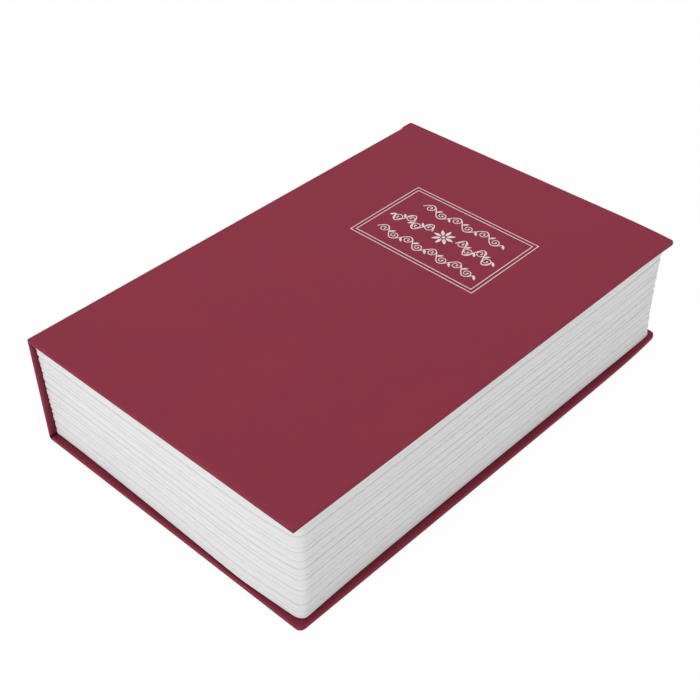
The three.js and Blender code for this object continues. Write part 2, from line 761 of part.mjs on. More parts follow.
// A hole that the lock's stem passes through
function stemHole(z0, z1) {
  return rod(LOCK_STEM_RADIUS + LOCK_CLEARANCE, z0 - CUT, z1 + CUT, lockX, 0, ROUND_SIDES);
}

function lockWasher() {
  const top = lidUnderZ - WELD_GAP;
  const bottom = top - LOCK_WASHER_HEIGHT;
  return cut(rod(LOCK_WASHER_RADIUS, bottom, top, lockX, 0, ROUND_SIDES), stemHole(bottom, top));
}

function lockNut() {
  const top = lidUnderZ - WELD_GAP - LOCK_WASHER_HEIGHT - WELD_GAP;
  const bottom = top - LOCK_NUT_HEIGHT;
  const corner = LOCK_NUT_FLATS / 2 / Math.cos(Math.PI / NUT_SIDES);
  const rounding = [
    [0, bottom],
    [corner - LOCK_NUT_CHAMFER, bottom],
    [corner, bottom + LOCK_NUT_CHAMFER],
    [corner, top],
    [0, top],
  ];
  const hexagon = rod(corner, bottom, top, lockX, 0, NUT_SIDES);
  const rounded = hexagon.intersect(turned(rounding, lockX, 0, ROUND_SIDES));
  return cut(rounded, stemHole(bottom, top));
}

// The cam points to the head while unlocked, and turns clockwise to the fore-edge to lock
function lockCam() {
  const half = CAM_WIDTH / 2;
  const armAngle = Math.acos(half / CAM_EYE_RADIUS);
  const tipX = half - CAM_TIP_RADIUS;
  const tipY = CAM_REACH - CAM_TIP_RADIUS;
  const outline = new THREE.Shape();
  outline.absarc(lockX, 0, CAM_EYE_RADIUS, Math.PI - armAngle, armAngle, false);
  outline.lineTo(lockX + half, tipY);
  outline.absarc(lockX + tipX, tipY, CAM_TIP_RADIUS, 0, Math.PI / 2, false);
  outline.absarc(lockX - tipX, tipY, CAM_TIP_RADIUS, Math.PI / 2, Math.PI, false);
  outline.closePath();
  const hole = PLUG_TAIL / 2 + CAM_HOLE_CLEARANCE;
  const square = block(lockX - hole, lockX + hole, -hole, hole, camBottomZ - CUT, camTopZ + CUT);
  return cut(prism(outline, camBottomZ, camTopZ), square);
}

// A pan-headed screw, its head's seat at z and its shank pointing up (way 1) or down (way -1)
function panScrew([x, y, z], way, shank, head) {
  const tip = z + way * shank.length;
  const crown = z - way * head.height;
  const profile = [
    [0, tip],
    [shank.radius, tip],
    [shank.radius, z],
    [head.radius, z],
    [head.radius, (z + crown) / 2],
    [head.radius * Math.SQRT1_2, crown],
    [0, crown],
  ];
  return turned(profile, x, y, SMALL_SIDES);
}

function camScrew() {
  const length = CAM_SCREW_DEPTH - CAM_SCREW_RADIUS;
  const shank = { radius: CAM_SCREW_RADIUS, length };
  const head = { radius: CAM_SCREW_HEAD_RADIUS, height: CAM_SCREW_HEAD_HEIGHT };
  return panScrew([lockX, 0, camBottomZ - WELD_GAP], 1, shank, head);
}

function boxScrew([x, y]) {
  const shank = { radius: SCREW_RADIUS, length: SCREW_LENGTH };
  const head = { radius: SCREW_HEAD_RADIUS, height: SCREW_HEAD_HEIGHT };
  return panScrew([x, y, boxFloorZ + WELD_GAP], -1, shank, head);
}

// The assembly

function piece(name, solid, material) {
  const mesh = new THREE.Mesh(toGeometry(solid), material);
  mesh.name = name;
  return mesh;
}

function caseParts() {
  const back = new THREE.Group();
  back.add(piece('back_board', coverBoard(), greyboardFinish));
  back.add(piece('back_cover', coverPaper(), coverPaperFinish));
  back.add(piece('back_lining', coverLining(), liningFinish));

  const front = new THREE.Group();
  front.add(piece('front_board', coverBoard(), greyboardFinish));
  front.add(piece('front_cover', coverPaper(), coverPaperFinish));
  front.add(piece('front_lining', coverLining(), liningFinish));
  front.rotation.x = Math.PI;
  front.position.z = BOOK_THICKNESS;

  const spine = new THREE.Group();
  spine.add(piece('spine_board', spineBoard(), greyboardFinish));
  spine.add(piece('spine_cover', spinePaper(), coverPaperFinish));
  spine.add(piece('spine_lining', spineLining(), liningFinish));
  spine.rotation.y = Math.PI / 2;
  spine.position.set(spineX, 0, BOOK_THICKNESS / 2);
  return [back, front, spine];
}

function boxParts() {
  const parts = [
    piece('page_block', pageBlock(), pageFinish),
    piece('safe_box', safeBox(), boxFinish),
    piece('strike_bracket', strikeBracket(), steelFinish),
    piece('hinge_leaf_box', boxHingeLeaf(), steelFinish),
    piece('hinge_pin', hingePin(), steelFinish),
  ];
  screwPlaces.forEach((place, i) => {
    parts.push(piece(`box_screw_${i + 1}`, boxScrew(place), steelFinish));
  });
  return parts;
}

function lidParts() {
  return [
    piece('box_lid', boxLid(), boxFinish),
    piece('hinge_leaf_lid', lidHingeLeaf(), steelFinish),
    piece('lock_body', lockBody(), chromeFinish),
    piece('lock_washer', lockWasher(), steelFinish),
    piece('lock_nut', lockNut(), steelFinish),
  ];
}

function lockCylinderParts() {
  return [
    piece('lock_plug', lockPlug(), chromeFinish),
    piece('lock_cam', lockCam(), steelFinish),
    piece('cam_screw', camScrew(), steelFinish),
  ];
}

const bookSafe = new THREE.Group();
bookSafe.add(...caseParts(), ...boxParts(), ...lidParts(), ...lockCylinderParts());

export default bookSafe;
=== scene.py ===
import json
from math import atan2, cos, exp, hypot, log, pi, radians, sin

import bmesh
import bpy
from mathutils import Matrix, Vector
from mathutils.geometry import delaunay_2d_cdt


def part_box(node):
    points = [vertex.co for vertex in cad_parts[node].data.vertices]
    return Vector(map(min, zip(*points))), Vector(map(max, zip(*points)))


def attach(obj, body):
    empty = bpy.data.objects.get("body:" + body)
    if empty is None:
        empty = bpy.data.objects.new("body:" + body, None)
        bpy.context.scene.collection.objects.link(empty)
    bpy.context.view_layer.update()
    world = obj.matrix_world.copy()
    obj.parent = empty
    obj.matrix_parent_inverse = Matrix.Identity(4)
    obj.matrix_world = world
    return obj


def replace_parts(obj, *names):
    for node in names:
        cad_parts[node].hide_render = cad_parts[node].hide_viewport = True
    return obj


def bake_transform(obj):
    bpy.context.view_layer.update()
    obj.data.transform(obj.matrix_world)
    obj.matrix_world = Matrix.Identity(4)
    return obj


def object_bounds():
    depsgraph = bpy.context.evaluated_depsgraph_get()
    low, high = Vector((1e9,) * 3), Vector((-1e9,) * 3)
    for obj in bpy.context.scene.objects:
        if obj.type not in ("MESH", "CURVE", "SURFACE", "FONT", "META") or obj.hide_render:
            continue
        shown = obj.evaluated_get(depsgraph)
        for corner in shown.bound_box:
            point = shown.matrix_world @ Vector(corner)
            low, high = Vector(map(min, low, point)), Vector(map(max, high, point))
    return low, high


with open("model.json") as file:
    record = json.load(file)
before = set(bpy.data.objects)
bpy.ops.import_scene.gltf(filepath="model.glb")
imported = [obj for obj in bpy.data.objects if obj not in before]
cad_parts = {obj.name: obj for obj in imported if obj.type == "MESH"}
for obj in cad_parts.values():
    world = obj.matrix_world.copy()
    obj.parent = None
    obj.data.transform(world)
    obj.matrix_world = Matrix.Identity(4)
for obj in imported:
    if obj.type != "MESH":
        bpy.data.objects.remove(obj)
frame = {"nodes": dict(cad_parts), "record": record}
cad_low, cad_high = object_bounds()

# The camera, as the photograph was taken
CAMERA_PLACE = Vector((0.315581, -0.326351, 0.393957))
CAMERA_TARGET = Vector((0.000707, -0.010217, 0.028098))
CAMERA_ROLL = radians(1.701)
CAMERA_LENS = 67.151
SENSOR_WIDTH = 36.0
CAMERA_CLIP = (0.01, 20.0)

# Colours of the finishes
BURGUNDY = (0.228, 0.0205, 0.043, 1)
RUBBED_BURGUNDY = (0.36, 0.09, 0.12, 1)
FOIL = (0.78, 0.68, 0.69, 1)
ENDPAPER = (0.81, 0.78, 0.7, 1)
PULP = (0.27, 0.24, 0.2, 1)
PAGE_WHITE = (0.775, 0.77, 0.772, 1)
# Painted shade: the grey put into the hollows of the page block's leaf lines
PAGE_HOLLOW_SHADE = (0.6, 0.6, 0.6, 1)
BLACK_ENAMEL = (0.014, 0.014, 0.016, 1)
RUBBED_STEEL = (0.2, 0.2, 0.21, 1)
ZINC = (0.52, 0.53, 0.55, 1)
CHROME = (0.7, 0.71, 0.72, 1)
MID_GREY = (0.5, 0.5, 0.5, 1)
PALE_GREY = (0.8, 0.8, 0.8, 1)
FLOOR_PAINT = (0.9, 0.9, 0.9, 1)
WHITE = (1, 1, 1, 1)

# The case: paper glued round three boards, folded in and rounded over their edges
WRAP_PAPER = 0.25e-3
GLUE_LINE = 0.05e-3
TURN_IN = 15e-3
ARRIS_RADIUS = 0.5e-3
SPINE_FOLD_RADIUS = 1.1e-3
FRONT_TAIL_RADIUS = 0.6e-3
FRONT_HEAD_RADIUS = 1.5e-3
BACK_TAIL_RADIUS = 2.6e-3
BACK_HEAD_RADIUS = 2.8e-3
SQUARE_CORNER_RADIUS = 0.15e-3
FRONT_JOINT_RADIUS = 0.9e-3
BACK_JOINT_RADIUS = 2.1e-3
CORNER_REACH = 28e-3
CORNER_CURL = 1.6e-3
CORNER_DROOP = 0.9e-3
CORNER_TRIM = Vector((0.8e-3, 2.4e-3))
CORNER_TRIM_REACH = Vector((64e-3, 26e-3))
FACE_INSETS = (60e-3, 40e-3, 20e-3, 10e-3, 6e-3, 3e-3, 1.5e-3, 0.8e-3)
NARROWEST_FACE = 1e-3
TURN_IN_INSETS = (0.8e-3, 1.5e-3, 3e-3, 6e-3, 10e-3, 14.9e-3)
TURN_IN_SHOULDER = 0.4
BOARD_INSET = 10e-3
EASE_POWER = 1.7
SIDE_WEAR = 0.1
FOLD_WEAR = 0.7
TURN_IN_WEAR = 0.3
JOINT_WEAR = 0.5
COVER_STEPS = (24, 36, 4)
ARRIS_STEPS = 4
JOINT_STEPS = 10
JOINT_SPANS = 30
JOINT_TIP_RADIUS = 1.4e-3
CAP_PROUD = 0.5e-3
CAP_REACH = 8e-3
CAP_RISE = 1.5e-3
CAP_SPANS = (8e-3, 7.6e-3, 7.25e-3, 6.9e-3, 6.5e-3, 4e-3, 2.2e-3)

# The double rule and the ornament stamped in foil on the front cover
RULE_LOW = Vector((-35.5e-3, 28.0e-3))
RULE_HIGH = Vector((37.6e-3, 75.3e-3))
FOIL_SKEW = -0.014
RULE_LINE = 0.42e-3
RULE_STEP = 1.9e-3
FOIL_PROUD = 0.02e-3
VINE_STROKE = 0.5e-3
VINE_ROWS = ((13.2e-3, 24e-3, 3.3e-3, 6), (-13.2e-3, 29e-3, 3.3e-3, 8))
MIDDLE_VINE = (7e-3, 29e-3, 4.4e-3, 4)
BAY_STEPS = 12
CURL_TURNS = 1.3
CURL_SWING_SHARE = 0.62
CURL_BAY_SHARE = 0.42
CURL_GROWTH = 1.25
CURL_CLOSING = 0.78
CURL_TAPER = 0.3
CURL_STEPS = 28
DOT_RADIUS = 0.6e-3
CURL_DOT_SHARE = 0.8
ROSETTE_DOT_SHARE = 1.3
DOT_STEPS = 20
ROSETTE_PETALS = 8
ROSETTE_PETAL = 4.4e-3
ROSETTE_ROOT = 1.3e-3
LEAF = 3.4e-3
LEAF_WIDTH_SHARE = 0.36
LEAF_RISE = 1.1
LEAF_FULLNESS = 0.8
LEAF_HEEL = 1.25
LEAF_NARROWING = 0.5
LEAF_STEPS = 12
JOIN_GRID = 1e-4

# The moulded page block, and the ridges in it from the bottom to the top
FORE_OVERHANG = 1.65e-3
TAIL_OVERHANG = 2.0e-3
HEAD_OVERHANG = 0.8e-3
HEAD_LEAN = 1.5e-3
HEAD_GAPE_START = 60e-3
HEAD_GAPE_REACH = 50e-3
BLOCK_LEAN = 1.2e-3
FOOT_FLARE = 2.4e-3
FOOT_HEIGHT_SHARE = 0.35
FOOT_PEAK_SHARE = 0.8
FOOT_END_SHARE = 1.08
FOOT_CURVE = 1.3
FOOT_SOFTNESS = 10
FOOT_FALL = 1.2
FORE_FLARE = 1.3e-3
FORE_FLARE_REACH = 26e-3
RIDGE_DEPTH = 0.9e-3
RIDGE_STEP = 0.2e-3
RIDGE_WAVE = 0.3e-3
RIDGE_HEIGHT_SHARES = (3.2, 4.3, 4.6, 2.6, 3, 2.7, 2.4, 3.9, 4, 5, 2.5, 2.8, 3.7, 3.6, 3.3)
RIDGE_CREST_SHARES = (0.2, 0.2, 0.15, 0.15, 0.15, 0.55, 0.45, 0.45, 0.15, 0.15, 0, 0, 0.4, 0.5, 1)
GROOVE_DEPTH_SHARES = (0.35, 0.8, 0.45, 0.6, 0.3, 1, 0.6, 1, 0.85, 0.75, 0.5, 0.2, 1.1, 0.2)
REBATE_DEPTH = 1.4e-3
REBATE_HEIGHT = 0.35e-3
REBATE_LIP = 0.02e-3
TOP_GROOVE_SHARE = 0.3
GROOVE_WIDTH = 0.2e-3
GAPE_WIDTH = 0.5e-3
GROOVE_STEPS = (0.0, 0.07e-3, 0.16e-3, 0.3e-3, 0.5e-3, 0.85e-3)
RIDGE_BULGE = 0.16e-3
WAVE_TURNS = 3.5
WAVE_LEAD = 0.4
FREE_SHARE = 0.12
SPINE_RISE = 0.9e-3
SPINE_RISE_POWER = 1.5
TAIL_DROP = 1.0e-3
TAIL_DROP_POWER = 40
END_POWER = 8
TAIL_SAG = 0.6e-3
TAIL_SAG_PLACE = 34e-3
TAIL_SAG_REACH = 18e-3
FORE_BOW = 0.7e-3
FORE_BOW_PLACE = -10e-3
FORE_BOW_REACH = 38e-3
SPINE_SWELL = 0.4e-3
SPINE_SWELL_REACH = 20e-3
TAIL_EASE = 2.4e-3
TAIL_EASE_REACH = 27e-3
HEAD_EASE = 1.2e-3
HEAD_EASE_REACH = 56e-3
CORNER_DIP = 0.55e-3
CORNER_DIP_REACH = 28e-3
PAGE_CORNER_RADIUS = 4.9e-3
PAGE_SPINE_RADIUS = 0.15e-3
PAGE_EDGE_RADIUS = 0.4e-3
PAGE_EDGE_STEPS = 3
PAGE_WALL = 2.2e-3
PAGE_DECK = 2.4e-3
PAGE_STEPS = (44, 64, 10)
OPENING_WALL = 1.8e-3
OPENING_RADIUS = 4e-3
SHELF_SIDE = 20e-3
SHELF_HEIGHT = 3e-3
LID_ROOM = 1.2e-3
HINGE_ROOM = 4.2e-3

# The pressed box and its lid
BOX_STEEL = 1e-3
BOX_CORNER_RADIUS = 4e-3
BOX_BEND_RADIUS = 2e-3
LID_CORNER_RADIUS = 5.5e-3
LID_BEND_RADIUS = 1.4e-3
PRESSED_STEPS = (12, 40, 8)
BEND_STEPS = 6
NOTCH_DEPTH = 0.85e-3
LOCK_HOLE_RADIUS = 8.3e-3
LOCK_HOLE_FLATS = 14.6e-3
SCREW_HOLE_RADIUS = 1.5e-3
HOLE_STEPS = 32
RIM_BEVEL = 0.18e-3
RIM_ANGLE = radians(50)

# Dressing of the small steel and chrome pieces
SMOOTH_ANGLE = radians(32)
GROOVE_SMOOTH_ANGLE = radians(65)
FLAT_ANGLE = radians(1)
ARRIS_ANGLE = radians(40)
BEVEL_SEGMENTS = 2
FINE_BEVEL = 0.12e-3
CHROME_BEVEL = 0.2e-3
WELD = 1e-6
FINE_WELD = 1e-7
SLOT_WIDTH = 0.8e-3
SLOT_DEPTH = 0.7e-3
SLOT_REACH = 1.7e-3

# The floor and the studio's lamps: place, size and power of each
FLOOR_SIZE = 6.0
FLOOR_LEVEL = -0.1e-3
FLOOR_GLOW = 0.97
SKY_STRENGTH = 0.17
LAMP_TARGET = Vector((0, 0, 0.03))
LAMPS = {
    "key": (Vector((-0.2, 0.12, 1.35)), 0.9, 11.0),
    "tail_fill": (Vector((-0.15, -1.6, 0.45)), 1.0, 14.3),
    "fore_fill": (Vector((1.6, 0.32, 0.4)), 1.0, 9.45),
}


def middle_of(name):
    """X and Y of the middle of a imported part's box."""
    low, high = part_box(name)
    return (low.x + high.x) / 2, (low.y + high.y) / 2


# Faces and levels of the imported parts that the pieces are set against
spine_x, fore_x = cad_low.x, cad_high.x
head_y, thickness = cad_high.y, cad_high.z
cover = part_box("back_cover")[1].z
block_low, block_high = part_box("page_block")
box_low, box_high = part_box("safe_box")
lid_low, lid_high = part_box("box_lid")
lining_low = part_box("back_lining")[0]
spine_board_low, spine_board_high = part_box("spine_board")
spine_lining_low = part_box("spine_lining")[0]
lock_x = middle_of("lock_body")[0]
pin_x = middle_of("hinge_pin")[0]
front_start_x = spine_x + FRONT_JOINT_RADIUS
back_start_x = spine_x + BACK_JOINT_RADIUS
opening_west = pin_x - HINGE_ROOM
opening_east = lid_high.x + LID_ROOM
opening_head = lid_high.y + LID_ROOM
screw_nodes = [f"box_screw_{i}" for i in range(1, 5)]
slot_of = {part["node"]: part["material_slot"] for part in frame["record"]["subparts"]}
body_of = {
    name: body
    for body, names in frame["record"]["behaviour"]["bodies"].items()
    for name in names
}


# Nodes of materials

def node(tree, kind, inputs=None, **settings):
    """Adds a shader node. An input that is a socket is linked, and any other value is set."""
    made = tree.nodes.new("ShaderNode" + kind)
    for name, value in settings.items():
        setattr(made, name, value)
    for name, value in (inputs or {}).items():
        if isinstance(value, bpy.types.NodeSocket):
            tree.links.new(value, made.inputs[name])
        else:
            made.inputs[name].default_value = value
    return made


def math_node(tree, operation, first, second):
    return node(tree, "Math", {0: first, 1: second}, operation=operation).outputs[0]


def added(tree, first, second):
    return math_node(tree, "ADD", first, second)


def times(tree, first, second):
    return math_node(tree, "MULTIPLY", first, second)


def mixed_color(tree, share, first, second):
    """Sockets 6 and 7 of a Mix node are its two colours, and output 2 is the mixed one."""
    return node(tree, "Mix", {0: share, 6: first, 7: second}, data_type="RGBA").outputs[2]


def noise(tree, place, scale, detail=2.0):
    return node(tree, "TexNoise", {"Vector": place, "Scale": scale, "Detail": detail}).outputs["Fac"]


def stretched(tree, stretch=(1, 1, 1)):
    """The place on the piece, in metres, scaled by stretch along each direction."""
    place = node(tree, "TexCoord").outputs["Object"]
    return node(tree, "VectorMath", {0: place, 1: stretch}, operation="MULTIPLY").outputs[0]


def ranged(tree, value, low=0.0, high=1.0, start=0.0, end=1.0):
    """A value from start to end, spread evenly from low to high."""
    inputs = {"Value": value, "From Min": start, "From Max": end, "To Min": low, "To Max": high}
    return node(tree, "MapRange", inputs).outputs[0]


def effect_group(name, inputs, outputs):
    """A group of shader nodes: its tree, the sockets of its inputs and those of its outputs."""
    tree = bpy.data.node_groups.new(name, "ShaderNodeTree")

    def socket(title, way):
        kind = "NodeSocketColor" if title.endswith("Color") else "NodeSocketFloat"
        return tree.interface.new_socket(name=title, in_out=way, socket_type=kind)

    for title, default in inputs.items():
        socket(title, "INPUT").default_value = default
    for title in outputs:
        socket(title, "OUTPUT")
    return tree, tree.nodes.new("NodeGroupInput").outputs, tree.nodes.new("NodeGroupOutput").inputs


def tone_drift_group():
    """Broad, soft unevenness of a colour with fine specks in it, as ink, dye or moulding leaves."""
    inputs = {"Color": MID_GREY, "Patch Scale": 40, "Speck Scale": 900, "Spread": 0.1}
    tree, given, out = effect_group("tone_drift", inputs, ("Color", "Mask"))
    place = stretched(tree)
    both = added(tree, noise(tree, place, given["Patch Scale"], 4), noise(tree, place, given["Speck Scale"]))
    swing = times(tree, math_node(tree, "SUBTRACT", both, 1.0), given["Spread"])
    drifted = node(tree, "HueSaturation", {"Color": given["Color"], "Value": added(tree, swing, 1.0)})
    tree.links.new(drifted.outputs["Color"], out["Color"])
    tree.links.new(times(tree, both, 0.5), out["Mask"])
    return tree


def worn_edge_group():
    """Where an arris has rubbed: the mesh's own edge mask, broken up by noise."""
    inputs = {"Color": MID_GREY, "Worn Color": PALE_GREY, "Amount": 0.5, "Patch Scale": 90}
    tree, given, out = effect_group("worn_edge", inputs, ("Color", "Mask"))
    patchy = ranged(tree, noise(tree, stretched(tree), given["Patch Scale"], 6), start=0.42, end=0.66)
    edge = node(tree, "Attribute", attribute_name="edge").outputs["Fac"]
    mask = times(tree, times(tree, patchy, edge), given["Amount"])
    tree.links.new(mixed_color(tree, mask, given["Color"], given["Worn Color"]), out["Color"])
    tree.links.new(mask, out["Mask"])
    return tree


def paper_tooth_group():
    """The tooth of coated paper: fine grain, with longer fibres lying in it."""
    tree, given, out = effect_group("paper_tooth", {"Grain Scale": 2200, "Fibre Share": 0.4}, ("Height",))
    grain = noise(tree, stretched(tree), given["Grain Scale"], 4)
    fibres = noise(tree, stretched(tree, (260, 1500, 260)), 1.0, 3)
    tree.links.new(added(tree, grain, times(tree, fibres, given["Fibre Share"])), out["Height"])
    return tree


def leaf_lines_group():
    """Fine level lines, as of leaves pressed together, with their height and a mask of their hollows, where
    the page plastic paints shade.
    """
    tree, given, out = effect_group("leaf_lines", {"Line Scale": 1, "Drift": 14}, ("Height", "Mask"))
    fine = noise(tree, stretched(tree, (9, 9, 1500)), given["Line Scale"], 5)
    broad = noise(tree, stretched(tree, (1, 1, 6)), given["Drift"], 3)
    tree.links.new(added(tree, fine, times(tree, broad, 0.3)), out["Height"])
    tree.links.new(ranged(tree, fine, start=0.36, end=0.56), out["Mask"])
    return tree


def coat_grain_group():
    """The fine orange-peel of a sprayed and baked coat."""
    tree, given, out = effect_group("coat_grain", {"Peel Scale": 700, "Grit Scale": 2600}, ("Height",))
    place = stretched(tree)
    peel = noise(tree, place, given["Peel Scale"], 1)
    grit = noise(tree, place, given["Grit Scale"], 2)
    tree.links.new(added(tree, peel, times(tree, grit, 0.35)), out["Height"])
    return tree


def metal_grain_group():
    """Drawn or rubbed metal: long fine scratches along the piece, and a mask of duller patches."""
    inputs = {"Scratch Scale": 1, "Patch Scale": 160}
    tree, given, out = effect_group("metal_grain", inputs, ("Height", "Mask"))
    scratches = noise(tree, stretched(tree, (3200, 120, 3200)), given["Scratch Scale"], 3)
    patches = noise(tree, stretched(tree), given["Patch Scale"], 5)
    tree.links.new(scratches, out["Height"])
    tree.links.new(added(tree, times(tree, scratches, 0.5), times(tree, patches, 0.5)), out["Mask"])
    return tree


tone_drift = tone_drift_group()
worn_edge = worn_edge_group()
paper_tooth = paper_tooth_group()
leaf_lines = leaf_lines_group()
coat_grain = coat_grain_group()
metal_grain = metal_grain_group()
materials = {}


def new_material(name):
    """The tree of an empty material, which is kept under its name."""
    made = bpy.data.materials.new(name)
    made.use_nodes = True
    made.node_tree.nodes.clear()
    materials[name] = made
    return made.node_tree


def effect(tree, group, inputs):
    return node(tree, "Group", inputs, node_tree=group).outputs


def toned(tree, color, patches, specks, spread):
    inputs = {"Color": color, "Patch Scale": patches, "Speck Scale": specks, "Spread": spread}
    return effect(tree, tone_drift, inputs)


def surface(tree, color, roughness, height, depth, strength, plain=None):
    """Ends a material. roughness is a mask and its range, and plain is what is the same all over."""
    bump = node(tree, "Bump", {"Height": height, "Distance": depth, "Strength": strength})
    inputs = {"Base Color": color, "Roughness": ranged(tree, *roughness), "Normal": bump.outputs[0]}
    shader = node(tree, "BsdfPrincipled", {**inputs, **(plain or {})})
    node(tree, "OutputMaterial", {"Surface": shader.outputs[0]})


def cover_paper():
    """Burgundy book paper, lightly coated, rubbed paler along its folds."""
    tree = new_material("cover_paper")
    dyed = toned(tree, BURGUNDY, 26, 1300, 0.14)
    worn = effect(tree, worn_edge, {"Color": dyed["Color"], "Worn Color": RUBBED_BURGUNDY, "Amount": 0.2})
    tooth = effect(tree, paper_tooth, {"Grain Scale": 2300, "Fibre Share": 0.5})
    roughness = (dyed["Mask"], 0.6, 0.74)
    surface(tree, worn["Color"], roughness, tooth["Height"], 0.05e-3, 0.35, {"Specular IOR Level": 0.2})


def cover_foil():
    """Pale stamping foil, thin enough in places for the paper's colour to show through."""
    tree = new_material("cover_foil")
    pale = toned(tree, FOIL, 120, 3000, 0.12)
    place = stretched(tree)
    thin = ranged(tree, noise(tree, place, 1700, 4), start=0.6, end=0.7)
    shown = mixed_color(tree, times(tree, thin, 0.55), pale["Color"], BURGUNDY)
    surface(tree, shown, (pale["Mask"], 0.28, 0.42), noise(tree, place, 2300, 3), 0.03e-3, 0.3)


def lining_paper():
    """Off-white endpaper, fibrous, and a little yellowed in patches."""
    tree = new_material("lining_paper")
    yellowed = toned(tree, ENDPAPER, 18, 1500, 0.07)
    tooth = effect(tree, paper_tooth, {"Grain Scale": 1500, "Fibre Share": 0.9})
    roughness = (yellowed["Mask"], 0.78, 0.92)
    surface(tree, yellowed["Color"], roughness, tooth["Height"], 0.06e-3, 0.5, {"Specular IOR Level": 0.3})


def greyboard():
    """Grey pulp board with darker flecks."""
    tree = new_material("greyboard")
    pulp = toned(tree, PULP, 90, 2600, 0.5)
    tooth = effect(tree, paper_tooth, {"Grain Scale": 1100, "Fibre Share": 1.0})
    surface(tree, pulp["Color"], (pulp["Mask"], 0.85, 0.98), tooth["Height"], 0.1e-3, 0.7)


def page_plastic():
    """White satin moulding with fine leaf lines, and shade painted grey into their hollows."""
    tree = new_material("page_plastic")
    lines = effect(tree, leaf_lines, {"Line Scale": 1.0, "Drift": 14})
    white = toned(tree, PAGE_WHITE, 22, 1200, 0.05)
    # Painted shade: up to 12% grey where the leaf lines are hollow
    hollow_shaded = mixed_color(tree, ranged(tree, lines["Mask"], 0.12, 0.0), white["Color"], PAGE_HOLLOW_SHADE)
    surface(tree, hollow_shaded, (white["Mask"], 0.36, 0.52), lines["Height"], 0.05e-3, 0.2)


def box_enamel():
    """Black baked enamel, worn to grey steel on its rims."""
    tree = new_material("box_enamel")
    sprayed = toned(tree, BLACK_ENAMEL, 30, 1600, 0.5)
    rubbing = {"Color": sprayed["Color"], "Worn Color": RUBBED_STEEL, "Amount": 0.8, "Patch Scale": 140}
    worn = effect(tree, worn_edge, rubbing)
    grain = effect(tree, coat_grain, {"Peel Scale": 800, "Grit Scale": 2600})
    surface(tree, worn["Color"], (sprayed["Mask"], 0.34, 0.52), grain["Height"], 0.08e-3, 0.45)


def plated_steel(name, color, bright, dull, depth):
    """Plated steel with rubbed patches and fine scratches, of a roughness between bright and dull."""
    tree = new_material(name)
    grain = effect(tree, metal_grain, {"Scratch Scale": 1.0, "Patch Scale": 160})
    plated = toned(tree, color, 120, 1400, 0.25)
    roughness = (grain["Mask"], bright, dull)
    surface(tree, plated["Color"], roughness, grain["Height"], depth, 0.25, {"Metallic": 1.0})


cover_paper()
cover_foil()
lining_paper()
greyboard()
page_plastic()
box_enamel()
plated_steel("zinc_steel", ZINC, 0.26, 0.5, 0.03e-3)
plated_steel("lock_chrome", CHROME, 0.06, 0.24, 0.01e-3)


# Meshes

def smooth_step(share):
    kept = min(1.0, max(0.0, share))
    return kept * kept * (3 - 2 * kept)


def quarter_turn(steps):
    """Angles from 0 to 90 degrees, in as many steps."""
    return [pi / 2 * i / steps for i in range(steps + 1)]


def outline(x0, x1, half, radii, steps):
    """Points round a rectangle with rounded corners, from the tail side's spine end towards the fore-edge.

    radii are those of the corners in the order that they are met in, the spine's tail corner last.
    """
    along, across, arc = steps
    tail_fore, head_fore, head_spine, tail_spine = radii
    centres = (
        (x1 - tail_fore, tail_fore - half),
        (x1 - head_fore, half - head_fore),
        (x0 + head_spine, half - head_spine),
        (x0 + tail_spine, tail_spine - half),
    )

    def corner_point(i, quarters):
        angle = pi / 2 * quarters
        return Vector((centres[i][0] + radii[i] * cos(angle), centres[i][1] + radii[i] * sin(angle)))

    points = []
    for i, count in enumerate((along, across, along, across)):
        start, end = corner_point(i - 1, i - 1), corner_point(i, i - 1)
        points += [start.lerp(end, step / count) for step in range(count)]
        points += [corner_point(i, i - 1 + step / arc) for step in range(arc)]
    return points


def ring_at(z, *shape):
    """An outline at a height."""
    return [Vector((p.x, p.y, z)) for p in outline(*shape)]


def skinned(rings, joined=False):
    """Points and faces of rings of as many points each, capped or joined end to end."""
    count = len(rings[0])
    points = [point for ring in rings for point in ring]
    starts = range(0, len(points), count)
    pairs = list(zip(starts, starts[1:]))
    if joined:
        pairs.append((starts[-1], 0))
    faces = []
    for low, high in pairs:
        for i in range(count):
            after = (i + 1) % count
            faces.append((low + i, low + after, high + after, high + i))
    if not joined:
        faces.append(tuple(reversed(range(count))))
        faces.append(tuple(range(starts[-1], len(points))))
    return points, faces


def placed(name, data):
    """A new object in the scene."""
    made = bpy.data.objects.new(name, data)
    bpy.context.scene.collection.objects.link(made)
    return made


def new_object(name, mesh, slot, body=None, material=None):
    """Puts a mesh in the scene as a piece with a finish, and lets it ride on a body."""
    mesh.materials.clear()
    mesh.materials.append(materials[material or slot])
    piece = placed(name, mesh)
    if body:
        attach(piece, body)
    return piece


def welded(mesh, gap):
    """Starts a build from a mesh, whose points within a gap become one."""
    build = bmesh.new()
    build.from_mesh(mesh)
    bmesh.ops.remove_doubles(build, verts=build.verts, dist=gap)
    return build


def mesh_from(name, points, faces, edges=None):
    """A mesh with its faces turned out and its optional mask of worn arrises."""
    mesh = bpy.data.meshes.new(name)
    mesh.from_pydata([tuple(p) for p in points], [], faces)
    if edges is not None:
        mask = mesh.attributes.new("edge", "FLOAT", "POINT")
        mask.data.foreach_set("value", edges)
    build = welded(mesh, FINE_WELD)
    bmesh.ops.recalc_face_normals(build, faces=build.faces)
    build.to_mesh(mesh)
    build.free()
    return mesh


def mesh_of(build, name):
    """Ends a build, and gives its mesh."""
    mesh = bpy.data.meshes.new(name)
    build.to_mesh(mesh)
    build.free()
    return mesh


def smoothed(mesh, angle=SMOOTH_ANGLE):
    mesh.shade_smooth()
    mesh.set_sharp_from_angle(angle=angle)
    return mesh


def modify(piece, name, kind, **settings):
    made = piece.modifiers.new(name, kind)
    for title, value in settings.items():
        setattr(made, title, value)


